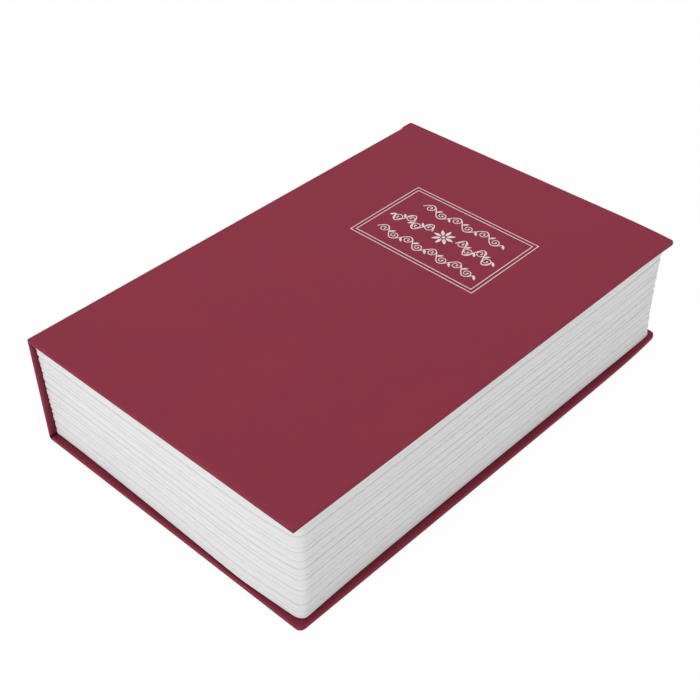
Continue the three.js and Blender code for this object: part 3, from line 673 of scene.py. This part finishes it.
def soften(piece, name, width, angle):
    """Breaks the arrises that are sharper than an angle."""
    settings = {"segments": BEVEL_SEGMENTS, "limit_method": "ANGLE", "angle_limit": angle}
    modify(piece, name, "BEVEL", width=width, **settings)


def applied(piece):
    """Replaces a piece's mesh by what its modifiers make of it, smoothed."""
    bpy.context.view_layer.update()
    seen = piece.evaluated_get(bpy.context.evaluated_depsgraph_get())
    made = bpy.data.meshes.new_from_object(seen)
    made.name = piece.name
    piece.modifiers.clear()
    piece.data = smoothed(made)


# The case. A cover's rings are drawn as the back one lies: outer face at z = 0, inner face at z = cover.

def sheet_ring(x0, x1, half, inset, z, radii, sides=None):
    """A ring of a sheet, drawn in by inset all round, or by sides at x0 and x1."""
    low, high = sides or (inset, inset)
    kept = [max(radius - inset, SQUARE_CORNER_RADIUS) for radius in radii]
    return ring_at(z, x0 + low, x1 - high, half - inset, kept, COVER_STEPS)


def wrap_rings(x0, x1, folds, radii, fold_radius):
    """Rings of paper wrapped round a board, from the middle of its outer face to that of its inner skin.

    folds are the widths that the paper is turned in at x0 and x1. A side whose fold is narrower than
    TURN_IN meets a joint, so its outer arris stays square. fold_radius is that of the inner arris.
    Gives the rings and how worn their points are.
    """
    widest = min(x1 - x0, 2 * head_y) / 2 - NARROWEST_FACE
    joints = [x for x, fold in zip((x0, x1), folds) if fold < TURN_IN]
    rings = []
    edges = []

    def add(inset, z, wear=0.0, sides=None):
        """Joint sides aren't exposed, so they show no wear."""
        ring = sheet_ring(x0, x1, head_y, inset, z, radii, sides)
        rings.append(ring)
        edges.extend(0.0 if any(abs(p.x - x) < ARRIS_RADIUS for x in joints) else wear for p in ring)

    for inset in [i for i in FACE_INSETS if i < widest]:
        add(inset, 0)
    for angle in quarter_turn(ARRIS_STEPS):
        inset = ARRIS_RADIUS * (1 - sin(angle))
        sides = [0.0 if fold < TURN_IN else inset for fold in folds]
        add(inset, ARRIS_RADIUS * (1 - cos(angle)), sin(2 * angle), sides)
    add(0, cover / 2, SIDE_WEAR)
    for angle in quarter_turn(ARRIS_STEPS):
        z = cover - fold_radius * (1 - sin(angle))
        add(fold_radius * (1 - cos(angle)), z, FOLD_WEAR * sin(2 * angle))
    for inset in [i for i in TURN_IN_INSETS if i > fold_radius]:
        add(inset, cover, 0.0, [max(fold_radius, fold * inset / TURN_IN) for fold in folds])
    add(TURN_IN, cover - TURN_IN_SHOULDER * WRAP_PAPER, TURN_IN_WEAR, folds)
    add(TURN_IN, cover - WRAP_PAPER, 0.0, folds)
    add(WRAP_PAPER, cover - WRAP_PAPER)
    add(WRAP_PAPER, WRAP_PAPER)
    add(min(TURN_IN, widest), WRAP_PAPER)
    return rings, edges


def slab(low, high, radii):
    """Rings of a flat sheet between two opposite corners, for a board or a lining."""
    levels = ((low.z, BOARD_INSET), (low.z, 0), (high.z, 0), (high.z, BOARD_INSET))
    return [sheet_ring(low.x, high.x, high.y, inset, z, radii) for z, inset in levels]


back_place = Matrix.Identity(4)
front_place = Matrix.Translation((0, 0, thickness)) @ Matrix.Rotation(pi, 4, "X")
spine_place = Matrix.Translation((spine_x, 0, thickness / 2)) @ Matrix.Rotation(pi / 2, 4, "Y")


def eased(away, reach, depth):
    """How far an edge has drawn back at a distance from the corner that it eases into."""
    return depth * max(0.0, 1 - away / reach) ** EASE_POWER


def case_leaf(
    name, place, x0, x1, folds, radii, lift=0.0, head=1, trim=(0.0, 0.0), fold_radius=ARRIS_RADIUS
):
    """One wrapped board of the case: its paper, the board and the lining over the turned-in edges.

    Its head corner at the fore-edge stands off by lift and is drawn in by trim. head is -1 where the
    place turns the head over.
    """
    skin = WRAP_PAPER + GLUE_LINE
    ends = [place.inverted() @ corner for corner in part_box(f"{name}_lining")]
    lining = [Vector(pick(end[axis] for end in ends) for axis in range(3)) for pick in (min, max)]
    board = (Vector((x0 + skin, 0, skin)), Vector((x1 - skin, head_y - skin, cover - skin)))

    def bent(p):
        from_fore = eased(head_y - p.y * head, CORNER_TRIM_REACH.x, trim[0]) * (p.x - x0) / (x1 - x0)
        from_head = eased(x1 - p.x, CORNER_TRIM_REACH.y, trim[1]) * max(0.0, p.y) / head_y
        away = hypot(x1 - p.x, head_y - p.y * head)
        lifted = lift * max(0.0, 1 - away / CORNER_REACH) ** 2
        return place @ Vector((p.x - from_fore, p.y - from_head, p.z + lifted))

    for part, slot, rings, edges in (
        ("cover", "cover_paper", *wrap_rings(x0, x1, folds, radii, fold_radius)),
        ("board", "greyboard", slab(*board, [radius - skin for radius in radii]), None),
        ("lining", "lining_paper", slab(*lining, (SQUARE_CORNER_RADIUS,) * 4), None),
    ):
        points, faces = skinned(rings)
        mesh = mesh_from(f"{name}_{part}_fine", [bent(p) for p in points], faces, edges)
        piece = new_object(mesh.name, smoothed(mesh), slot, body_of[f"{name}_{part}"])
        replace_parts(piece, f"{name}_{part}")


def joint_paper(name, replaced, path, proud, body_a, body_b, start, end):
    """Paper that bridges a joint round the book's outer corner, following a path of places and normals.

    proud is how far it stands off at the head, where the paper is doubled.
    """
    spans = [2 * head_y * i / JOINT_SPANS for i in range(1, JOINT_SPANS - 1)]
    spans += [2 * head_y - span for span in CAP_SPANS]

    def tip(radius, depth):
        turn = quarter_turn(ARRIS_STEPS)
        return [(depth + radius * (1 - cos(a)), depth + radius * (1 - sin(a))) for a in turn]

    def strip(head_radius, depth):
        tail = [(y - head_y, d) for y, d in tip(ARRIS_RADIUS - depth, depth)]
        middle = [(y - head_y, depth) for y in spans]
        head = [(head_y - y, d) for y, d in reversed(tip(head_radius - depth, depth))]
        return tail + middle + head

    rings = []
    edges = []
    for share, place, normal in path:
        swell = sin(pi * share)
        head_radius = ARRIS_RADIUS + (JOINT_TIP_RADIUS - ARRIS_RADIUS) * swell
        loop = strip(head_radius, 0.0) + list(reversed(strip(head_radius, WRAP_PAPER)))
        ring = []
        for i, (y, depth) in enumerate(loop):
            edges.append(JOINT_WEAR * swell if i < len(loop) // 2 else 0.0)
            d = depth - proud * swell * smooth_step((y - head_y + CAP_REACH) / CAP_RISE)
            ring.append(Vector((place[0] - normal[0] * d, y, place[1] - normal[1] * d)))
        rings.append(ring)
    points, faces = skinned(rings)
    piece = new_object(name, smoothed(mesh_from(name, points, faces, edges)), "cover_paper")
    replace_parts(piece, replaced)
    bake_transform(piece)


def corner_path(radius, z_edge, up, straight):
    """Along the spine's face from straight, round the corner and on to the cover's face."""
    x, z = spine_x + radius, z_edge - up * radius
    path = [(0.0, (spine_x, straight), (-1, 0))]
    for i, angle in enumerate(quarter_turn(JOINT_STEPS)):
        normal = (-cos(angle), up * sin(angle))
        place = (x + radius * normal[0], z + radius * normal[1])
        path.append((i / JOINT_STEPS, place, normal))
    return path


def build_case():
    front_fold, back_fold = [lining_low.x - x - GLUE_LINE for x in (front_start_x, back_start_x)]
    spine_fold = spine_lining_low.z - spine_board_low.z - GLUE_LINE
    square = (SQUARE_CORNER_RADIUS,) * 2
    front = ((front_fold, TURN_IN), (FRONT_HEAD_RADIUS, FRONT_TAIL_RADIUS, *square))
    back = ((back_fold, TURN_IN), (BACK_TAIL_RADIUS, BACK_HEAD_RADIUS, *square))
    spine = [thickness / 2 - z for z in (spine_board_high.z, spine_board_low.z)]
    case_leaf("front", front_place, front_start_x, fore_x, *front, CORNER_DROOP, -1)
    case_leaf("back", back_place, back_start_x, fore_x, *back, CORNER_CURL, 1, CORNER_TRIM)
    case_leaf("spine", spine_place, *spine, (spine_fold,) * 2, square * 2, fold_radius=SPINE_FOLD_RADIUS)
    top, low = FRONT_JOINT_RADIUS, BACK_JOINT_RADIUS
    top_path = corner_path(top, thickness, 1, spine_board_high.z)
    top_ends = ((spine_x, 0, thickness - top), (spine_x + top, 0, thickness))
    joint_paper("front_joint_paper", "front_cover", top_path, CAP_PROUD, "spine", "front", *top_ends)
    low_path = corner_path(low, 0, -1, spine_board_low.z)
    low_ends = ((spine_x + low, 0, 0), (spine_x, 0, low))
    joint_paper("back_joint_paper", "back_cover", low_path, 0.0, "root", "spine", *low_ends)


# The foil on the front cover

def foil_shapes():
    """Flat outlines of the stamped rules and ornament, each a list of points in X and Y."""
    centre = (RULE_LOW + RULE_HIGH) / 2

    def frame_rule(inset):
        step, thick = Vector((inset,) * 2), Vector((RULE_LINE,) * 2)
        low, high = RULE_LOW + step, RULE_HIGH - step
        ends = ((low, high), (low + thick, high - thick))
        outside, inside = [[a, Vector((b.x, a.y)), b, Vector((a.x, b.y))] for a, b in ends]
        return [[outside[i], outside[(i + 1) % 4], inside[(i + 1) % 4], inside[i]] for i in range(4)]

    def stroke(points, widths):
        """A band along points, half of each width to either side."""
        sides = []
        for i, point in enumerate(points):
            way = (points[min(len(points) - 1, i + 1)] - points[max(0, i - 1)]).normalized()
            across = Vector((-way.y, way.x)) * widths[i] / 2
            sides.append((point + across, point - across))
        return [[a[0], a[1], b[1], b[0]] for a, b in zip(sides, sides[1:])]

    def dot(place, radius):
        turns = [2 * pi * i / DOT_STEPS for i in range(DOT_STEPS)]
        return [[place + Vector((radius * cos(t), radius * sin(t))) for t in turns]]

    def leaf(base, angle, length):
        way = Vector((cos(angle), sin(angle)))
        across = Vector((-way.y, way.x))
        half = length * LEAF_WIDTH_SHARE / 2
        shares = [i / LEAF_STEPS for i in range(1, LEAF_STEPS)]
        bulge = [half * sin(pi * s) ** LEAF_FULLNESS * (LEAF_HEEL - LEAF_NARROWING * s) for s in shares]
        left = [base + way * length * s + across * b for s, b in zip(shares, bulge)]
        right = [base + way * length * s - across * b for s, b in zip(shares, bulge)]
        return [[base, *right, base + way * length, *reversed(left)]]

    def curl(crest, side, up, radius):
        """A tendril that rolls in from a crest of the vine, towards side."""
        eye = crest - Vector((0, up * radius))
        shares = [i / CURL_STEPS for i in range(CURL_STEPS + 1)]
        points = []
        for share in shares:
            angle = pi / 2 - 2 * pi * CURL_TURNS * share
            reach = radius * (1 - CURL_CLOSING * share)
            points.append(eye + Vector((side * reach * cos(angle), up * reach * sin(angle))))
        widths = [VINE_STROKE * (1 - CURL_TAPER * share) for share in shares]
        return stroke(points, widths) + dot(points[-1], DOT_RADIUS * CURL_DOT_SHARE)

    def vine(rise, start, end, swing, bays, side=1):
        """A running vine from start to end on one side of the middle: waves, curls in the bays and leaves."""
        bay = (end - start) / bays
        points = []
        for i in range(BAY_STEPS * bays + 1):
            place = (side * (start + bay * i / BAY_STEPS), rise + swing * sin(pi * i / BAY_STEPS))
            points.append(centre + Vector(place))
        made = stroke(points, [VINE_STROKE] * len(points))
        radius = min(CURL_SWING_SHARE * swing, CURL_BAY_SHARE * bay) * CURL_GROWTH
        for i in range(bays):
            up = 1 if i % 2 == 0 else -1
            crest = centre + Vector((side * (start + bay * (i + 0.5)), rise + up * swing))
            made += curl(crest, side, up, radius)
            knot = centre + Vector((side * (start + bay * (i + 1)), rise))
            made += leaf(knot, atan2(up * LEAF_RISE, side), LEAF)
        return made

    shapes = frame_rule(0) + frame_rule(RULE_STEP)
    for rise, half, swing, bays in VINE_ROWS:
        shapes += vine(rise, -half, half, swing, bays)
    for side in (1, -1):
        shapes += vine(0.0, *MIDDLE_VINE, side)
    for i in range(ROSETTE_PETALS):
        angle = 2 * pi * i / ROSETTE_PETALS
        root = centre + Vector((cos(angle), sin(angle))) * ROSETTE_ROOT
        shapes += leaf(root, angle, ROSETTE_PETAL)
    return shapes + dot(centre, DOT_RADIUS * ROSETTE_DOT_SHARE)


def build_foil():
    """Joins the shapes into one sheet, in millimetres while they are joined, and thickens it."""
    middle = (RULE_LOW.x + RULE_HIGH.x) / 2
    inside_only = 1
    corners = []
    shapes = []
    for shape in foil_shapes():
        shapes.append(list(range(len(corners), len(corners) + len(shape))))
        corners += [Vector((p.x, p.y + FOIL_SKEW * (p.x - middle))) * 1e3 for p in shape]
    joined, _, spans, _, _, sources = delaunay_2d_cdt(corners, [], shapes, inside_only, JOIN_GRID)
    faces = [span for span, source in zip(spans, sources) if source]
    points = [(p.x * 1e-3, p.y * 1e-3, thickness + FOIL_PROUD) for p in joined]
    mesh = bpy.data.meshes.new("cover_foil")
    mesh.from_pydata(points, [], faces)
    build = welded(mesh, WELD)
    for face in build.faces:
        face.normal_update()
        if face.normal.z < 0:
            face.normal_flip()
    build.to_mesh(mesh)
    build.free()
    piece = new_object("cover_foil", mesh, "cover_paper", material="cover_foil")
    modify(piece, "thickness", "SOLIDIFY", thickness=2 * FOIL_PROUD)
    applied(piece)
    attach(piece, "front")


# The moulded page block

def ridge_levels():
    """(z, inset, gape, lead) of each level of the moulded leaves, from the bottom to the top.

    gape is how much deeper the level lies at the head, where the leaves stand apart.
    """
    height = block_high.z - block_low.z
    total = sum(RIDGE_HEIGHT_SHARES)
    crests = [RIDGE_STEP * (1 - share) for share in RIDGE_CREST_SHARES]
    grooves = [crests[0]]
    for i, share in enumerate(GROOVE_DEPTH_SHARES):
        grooves.append(max(crests[i], crests[i + 1]) + RIDGE_DEPTH * share)
    grooves.append(crests[-1] + RIDGE_DEPTH * TOP_GROOVE_SHARE)
    rebate = crests[0] + REBATE_DEPTH
    levels = [(block_low.z + step, rebate, 0.0, 0.0) for step in (0.0, REBATE_HEIGHT)]
    z = block_low.z
    for i, share in enumerate(RIDGE_HEIGHT_SHARES):
        ridge = height * share / total
        steps = [*GROOVE_STEPS, ridge / 2, *(ridge - step for step in reversed(GROOVE_STEPS[1:]))]
        if not i:
            steps = [REBATE_HEIGHT + REBATE_LIP, *steps]
        for step in steps:
            cuts = []
            for width in (GROOVE_WIDTH, GAPE_WIDTH):
                below = (grooves[i] - crests[i]) * exp(-step / width)
                above = (grooves[i + 1] - crests[i]) * exp((step - ridge) / width)
                cuts.append(below + above)
            bulge = RIDGE_BULGE * (2 * step / ridge - 1) ** 2
            lead = WAVE_LEAD * i / len(RIDGE_HEIGHT_SHARES)
            if i or step >= REBATE_HEIGHT:
                levels.append((z + step, crests[i] + bulge + cuts[0], max(0.0, cuts[1] - cuts[0]), lead))
        z += ridge
    levels.append((z - PAGE_EDGE_RADIUS, grooves[-1], 0.0, WAVE_LEAD))
    return [level for level in levels if level[0] <= z - PAGE_EDGE_RADIUS]


def foot_at(along, to_tail, share):
    """How far the foot spreads at the fore-edge and the tail, and how much of it is left at a level."""
    rising = (along / FOOT_PEAK_SHARE) ** FOOT_CURVE
    falling = (FOOT_END_SHARE - along) / (FOOT_END_SHARE - FOOT_PEAK_SHARE)
    spread = -log(exp(-FOOT_SOFTNESS * rising) + exp(-FOOT_SOFTNESS * falling)) / FOOT_SOFTNESS
    low = max(0.0, 1 - share / FOOT_HEIGHT_SHARE) ** FOOT_FALL
    return FORE_FLARE * exp(-to_tail / FORE_FLARE_REACH) * low, FOOT_FLARE * spread * low, low


def page_ring(z, inset, gape, lead):
    """One level of the block's outside, which leans in to its foot and ripples as thumbed leaves do."""
    share = (z - block_low.z) / (block_high.z - block_low.z)
    stand = inset + BLOCK_LEAN * (1 - share)
    x1 = fore_x - FORE_OVERHANG - stand
    half = head_y - (TAIL_OVERHANG + HEAD_OVERHANG) / 2 - stand
    width = x1 - block_low.x
    around = 2 * width + 2 * half
    free = min(1.0, share / FREE_SHARE, (1 - share) / FREE_SHARE)
    corner = PAGE_CORNER_RADIUS - stand
    radii = (corner, corner, PAGE_SPINE_RADIUS, PAGE_SPINE_RADIUS)
    ring = []
    for p in outline(block_low.x, x1, half, radii, PAGE_STEPS):
        along = min(1.0, max(0.0, (p.x - block_low.x) / width))
        at_fore = min(1.0, max(0.0, (p.x - x1) / corner + 1))
        at_end = abs(p.y / half) ** END_POWER
        to_fore = along * width if p.y < 0 else (2 - along) * width
        turn = 2 * pi * (WAVE_TURNS * (to_fore + p.y + half) / around + lead)
        near = hypot(x1 - p.x, half + p.y) / CORNER_DIP_REACH
        bow = (p.y - FORE_BOW_PLACE) / FORE_BOW_REACH
        rise = RIDGE_WAVE * sin(turn) + SPINE_RISE * (1 - along) ** SPINE_RISE_POWER
        rise += at_fore * FORE_BOW * exp(-bow * bow) - CORNER_DIP * exp(-near * near)
        fore_foot, tail_foot, low = foot_at(along, p.y + half, share)
        gaped = gape * smooth_step((p.y - HEAD_GAPE_START) / HEAD_GAPE_REACH)
        fore_ease = (1 - low) * eased(half - p.y, HEAD_EASE_REACH, HEAD_EASE)
        x = p.x + at_fore * (fore_foot - gaped - fore_ease)
        y = p.y + (TAIL_OVERHANG - HEAD_OVERHANG) / 2
        if p.y > 0:
            y -= at_end * (gaped + HEAD_LEAN * (1 - share))
        else:
            sag = (p.x - TAIL_SAG_PLACE) / TAIL_SAG_REACH
            rise -= abs(p.y / half) ** TAIL_DROP_POWER * (TAIL_DROP + TAIL_SAG * exp(-sag * sag))
            swell = SPINE_SWELL * exp(-along * width / SPINE_SWELL_REACH)
            tail_ease = (1 - low) * eased(x1 - p.x, TAIL_EASE_REACH, TAIL_EASE)
            y += at_end * (tail_ease - tail_foot - swell)
        ring.append(Vector((x, y, z + free * rise)))
    return ring


def flat_ring(x0, x1, half, radius, z):
    return ring_at(z, x0, x1, half, (radius,) * 4, PAGE_STEPS)


def opening_ring(out, z):
    """The outline of the block's opening, set out by a distance."""
    x0, x1 = opening_west - out, opening_east + out
    return flat_ring(x0, x1, opening_head + out, OPENING_RADIUS + out, z)


def build_page_block():
    low, top = block_low.z, block_high.z
    levels = ridge_levels()
    rings = [page_ring(*level) for level in levels]
    for angle in quarter_turn(PAGE_EDGE_STEPS)[1:]:
        inset = levels[-1][1] + PAGE_EDGE_RADIUS * (1 - cos(angle))
        rings.append(page_ring(top - PAGE_EDGE_RADIUS * (1 - sin(angle)), inset, 0.0, WAVE_LEAD))
    for angle in quarter_turn(PAGE_EDGE_STEPS):
        out = PAGE_EDGE_RADIUS * (1 - sin(angle))
        rings.append(opening_ring(out, top - PAGE_EDGE_RADIUS * (1 - cos(angle))))
    rings.append(opening_ring(0, low))
    rings += [opening_ring(OPENING_WALL, z) for z in (low, top - PAGE_DECK)]
    skin = RIDGE_STEP + RIDGE_DEPTH + BLOCK_LEAN + PAGE_WALL
    inside = (block_low.x + PAGE_WALL, fore_x - FORE_OVERHANG - skin, head_y - TAIL_OVERHANG - skin)
    rings += [flat_ring(*inside, OPENING_RADIUS, z) for z in (top - PAGE_DECK, low)]
    points, faces = skinned(rings, joined=True)
    for shelf_points, shelf_faces in page_shelves():
        start = len(points)
        points += shelf_points
        faces += [tuple(start + i for i in face) for face in shelf_faces]
    mesh = smoothed(mesh_from("page_block_fine", points, faces), GROOVE_SMOOTH_ANGLE)
    piece = new_object("page_block_fine", mesh, "page_plastic", "root")
    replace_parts(piece, "page_block")


def page_shelves():
    """The four corner shelves under the box, each with a pilot hole for its screw."""
    low, high = block_low.z, block_low.z + SHELF_HEIGHT
    inner = box_high.y - SHELF_SIDE
    made = []
    for x, y in map(middle_of, screw_nodes):
        west = x < lock_x - SHELF_SIDE
        x0 = opening_west if west else box_high.x - SHELF_SIDE
        x1 = box_low.x + SHELF_SIDE if west else opening_east
        y0, y1 = (inner, opening_head) if y > 0 else (-opening_head, -inner)
        square = []
        hole = []
        for i in range(HOLE_STEPS):
            angle = 2 * pi * i / HOLE_STEPS
            dx, dy = cos(angle), sin(angle)
            reach = 1 / max(abs(dx), abs(dy))
            side = (x1 - x if dx > 0 else x - x0, y1 - y if dy > 0 else y - y0)
            square.append((x + dx * reach * side[0], y + dy * reach * side[1]))
            hole.append((x + SCREW_HOLE_RADIUS * dx, y + SCREW_HOLE_RADIUS * dy))
        levels = ((square, low), (hole, low), (hole, high), (square, high))
        made.append(skinned([[Vector((*p, z)) for p in flat] for flat, z in levels], joined=True))
    return made


# The pressed steel box and its lid

def bent_levels(bend, face_z, way):
    """(z, inset) round a bend, from a wall to the flat face. way is 1 where the wall stands up from it."""
    turn = reversed(quarter_turn(BEND_STEPS))
    return [(face_z + way * bend * (1 - cos(angle)), bend * (1 - sin(angle))) for angle in turn]


def round_hole(x, y, z, radius, flats=None):
    points = []
    for i in range(HOLE_STEPS):
        angle = 2 * pi * (i + 0.5) / HOLE_STEPS
        across = radius * cos(angle)
        if flats:
            across = min(flats / 2, max(-flats / 2, across))
        points.append(Vector((x + across, y + radius * sin(angle), z)))
    return points


def pressed(name, rings, closed, holes, body):
    """A pressing of sheet steel: rings from the rim, closed or open, to the flat face with its holes."""
    build = bmesh.new()
    rows = [[build.verts.new(p) for p in ring] for ring in rings]
    count = len(rows[0])
    spans = range(count if closed else count - 1)
    for low, high in zip(rows, rows[1:]):
        for i in spans:
            after = (i + 1) % count
            build.faces.new((low[i], low[after], high[after], high[i]))
    flat = rows[-1]
    rim = [build.edges.get((flat[i], flat[(i + 1) % count])) for i in spans]
    if not closed:
        rim.append(build.edges.new((flat[-1], flat[0])))
    for hole in holes:
        corners = [build.verts.new(p) for p in hole]
        for i, corner in enumerate(corners):
            rim.append(build.edges.new((corner, corners[(i + 1) % HOLE_STEPS])))
    bmesh.ops.triangle_fill(build, use_beauty=True, use_dissolve=False, edges=rim)
    bmesh.ops.recalc_face_normals(build, faces=build.faces)
    piece = new_object(name, mesh_of(build, name), "box_enamel")
    modify(piece, "steel", "SOLIDIFY", thickness=BOX_STEEL, use_even_offset=True, use_quality_normals=True)
    soften(piece, "rim", RIM_BEVEL, RIM_ANGLE)
    applied(piece)
    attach(piece, body)
    return piece


def build_box():
    notch_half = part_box("hinge_leaf_box")[1].y + BOX_BEND_RADIUS
    walls = [(z, 0.0) for z in (box_high.z, box_high.z - 2 * NOTCH_DEPTH, (box_high.z + box_low.z) / 2)]
    rings = []
    for z, inset in walls + bent_levels(BOX_BEND_RADIUS, box_low.z, 1):
        radii = (BOX_CORNER_RADIUS - inset,) * 4
        ring = ring_at(z, box_low.x + inset, box_high.x - inset, box_high.y - inset, radii, PRESSED_STEPS)
        for p in ring:
            if z == box_high.z and p.x < box_low.x + WELD and abs(p.y) < notch_half:
                p.z = z - NOTCH_DEPTH
        rings.append(ring)
    holes = [round_hole(*middle_of(name), box_low.z, SCREW_HOLE_RADIUS) for name in screw_nodes]
    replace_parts(pressed("safe_box_fine", rings, True, holes, "root"), "safe_box")


def build_lid():
    along, across, arc = PRESSED_STEPS
    kept = 2 * along + across + 2 * arc + 1
    levels = [(lid_low.z, 0.0), ((lid_low.z + lid_high.z) / 2, 0.0)]
    rings = []
    for z, inset in levels + bent_levels(LID_BEND_RADIUS, lid_high.z, -1):
        corner = LID_CORNER_RADIUS - inset
        shape = (pin_x, lid_high.x - inset, lid_high.y - inset, (corner, corner, 0.0, 0.0), PRESSED_STEPS)
        rings.append(ring_at(z, *shape)[:kept])
    hole = round_hole(lock_x, 0.0, lid_high.z, LOCK_HOLE_RADIUS, LOCK_HOLE_FLATS)
    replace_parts(pressed("box_lid_fine", rings, False, [hole], "lid"), "box_lid")


# The small steel and chrome pieces

def dressed(name, bevel, cutter=None):
    """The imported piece's own shape with its arrises broken, for a finer look."""
    build = welded(frame["nodes"][name].data, WELD)
    bmesh.ops.dissolve_limit(build, angle_limit=FLAT_ANGLE, verts=build.verts, edges=build.edges)
    mesh = mesh_of(build, f"{name}_fine")
    piece = new_object(mesh.name, mesh, slot_of[name])
    if cutter:
        modify(piece, "cut", "BOOLEAN", object=cutter, solver="EXACT")
    soften(piece, "arris", bevel, ARRIS_ANGLE)
    applied(piece)
    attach(piece, body_of[name])
    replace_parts(piece, name)


def cross_slot(x, y, end):
    """A cutter for the cross slot of a screw whose head ends at the height end."""
    half = SLOT_WIDTH / 2
    corners = []
    for turn in range(4):
        way = Matrix.Rotation(pi / 2 * turn, 2)
        corners += [way @ Vector(p) for p in ((SLOT_REACH, -half), (SLOT_REACH, half), (half, half))]
    levels = (end - SLOT_DEPTH, end + SLOT_DEPTH)
    rings = [[Vector((x + p.x, y + p.y, z)) for p in corners] for z in levels]
    return placed("cross_slot", mesh_from("cross_slot", *skinned(rings)))


def build_hardware():
    for name in (*screw_nodes, "cam_screw"):
        low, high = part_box(name)
        cutter = cross_slot(*middle_of(name), low.z if name == "cam_screw" else high.z)
        dressed(name, FINE_BEVEL, cutter)
        bpy.data.objects.remove(cutter)
    hinge = ("hinge_leaf_box", "hinge_leaf_lid", "hinge_pin")
    for name in ("strike_bracket", *hinge, "lock_washer", "lock_nut", "lock_cam"):
        dressed(name, FINE_BEVEL)
    for name in ("lock_body", "lock_plug"):
        dressed(name, CHROME_BEVEL)


# The floor, the light and the camera

def seen_share(tree):
    """1 for the rays that a camera, glass or a polished face sees by, and 0 for those that light."""
    rays = node(tree, "LightPath").outputs
    turned = math_node(tree, "MAXIMUM", rays["Is Glossy Ray"], rays["Is Transmission Ray"])
    return math_node(tree, "MAXIMUM", rays["Is Camera Ray"], turned)


def build_floor():
    half, z = FLOOR_SIZE / 2, FLOOR_LEVEL
    corners = [(-half, -half, z), (half, -half, z), (half, half, z), (-half, half, z)]
    mesh = bpy.data.meshes.new("floor")
    mesh.from_pydata(corners, [], [(0, 1, 2, 3)])
    tree = new_material("floor")
    paint = {"Base Color": FLOOR_PAINT, "Roughness": 0.9, "Specular IOR Level": 0.1}
    painted = node(tree, "BsdfPrincipled", paint)
    glow = node(tree, "Emission", {"Color": WHITE, "Strength": 1.0})
    share = times(tree, seen_share(tree), FLOOR_GLOW)
    both = node(tree, "MixShader", {0: share, 1: painted.outputs[0], 2: glow.outputs[0]})
    node(tree, "OutputMaterial", {"Surface": both.outputs[0]})
    mesh.materials.append(materials["floor"])
    placed("floor", mesh)


def build_sky():
    world = bpy.data.worlds.new("studio")
    world.use_nodes = True
    tree = world.node_tree
    tree.nodes.clear()
    strength = ranged(tree, seen_share(tree), SKY_STRENGTH, 1.0)
    light = node(tree, "Background", {"Color": WHITE, "Strength": strength})
    node(tree, "OutputWorld", {"Surface": light.outputs[0]})
    bpy.context.scene.world = world


def build_lamp(name, place, size, power):
    lamp = bpy.data.lights.new(name, "AREA")
    lamp.shape = "DISK"
    lamp.size = size
    lamp.energy = power
    holder = placed(name, lamp)
    holder.location = place
    holder.rotation_mode = "QUATERNION"
    holder.rotation_quaternion = (LAMP_TARGET - place).to_track_quat("-Z", "Y")


def build_camera():
    camera = bpy.data.cameras.new("camera")
    camera.sensor_width = SENSOR_WIDTH
    camera.lens = CAMERA_LENS
    camera.clip_start, camera.clip_end = CAMERA_CLIP
    holder = placed("camera", camera)
    way = (CAMERA_TARGET - CAMERA_PLACE).normalized()
    level = way.to_track_quat("-Z", "Y").to_matrix()
    tilted = Matrix.Rotation(CAMERA_ROLL, 3, way) @ level
    holder.matrix_world = Matrix.Translation(CAMERA_PLACE) @ tilted.to_4x4()
    bpy.context.scene.camera = holder


build_case()
build_foil()
build_page_block()
build_box()
build_lid()
build_hardware()
build_floor()
build_sky()
for name, lamp in LAMPS.items():
    build_lamp(name, *lamp)
build_camera()
bpy.context.scene.view_settings.view_transform = "Standard"
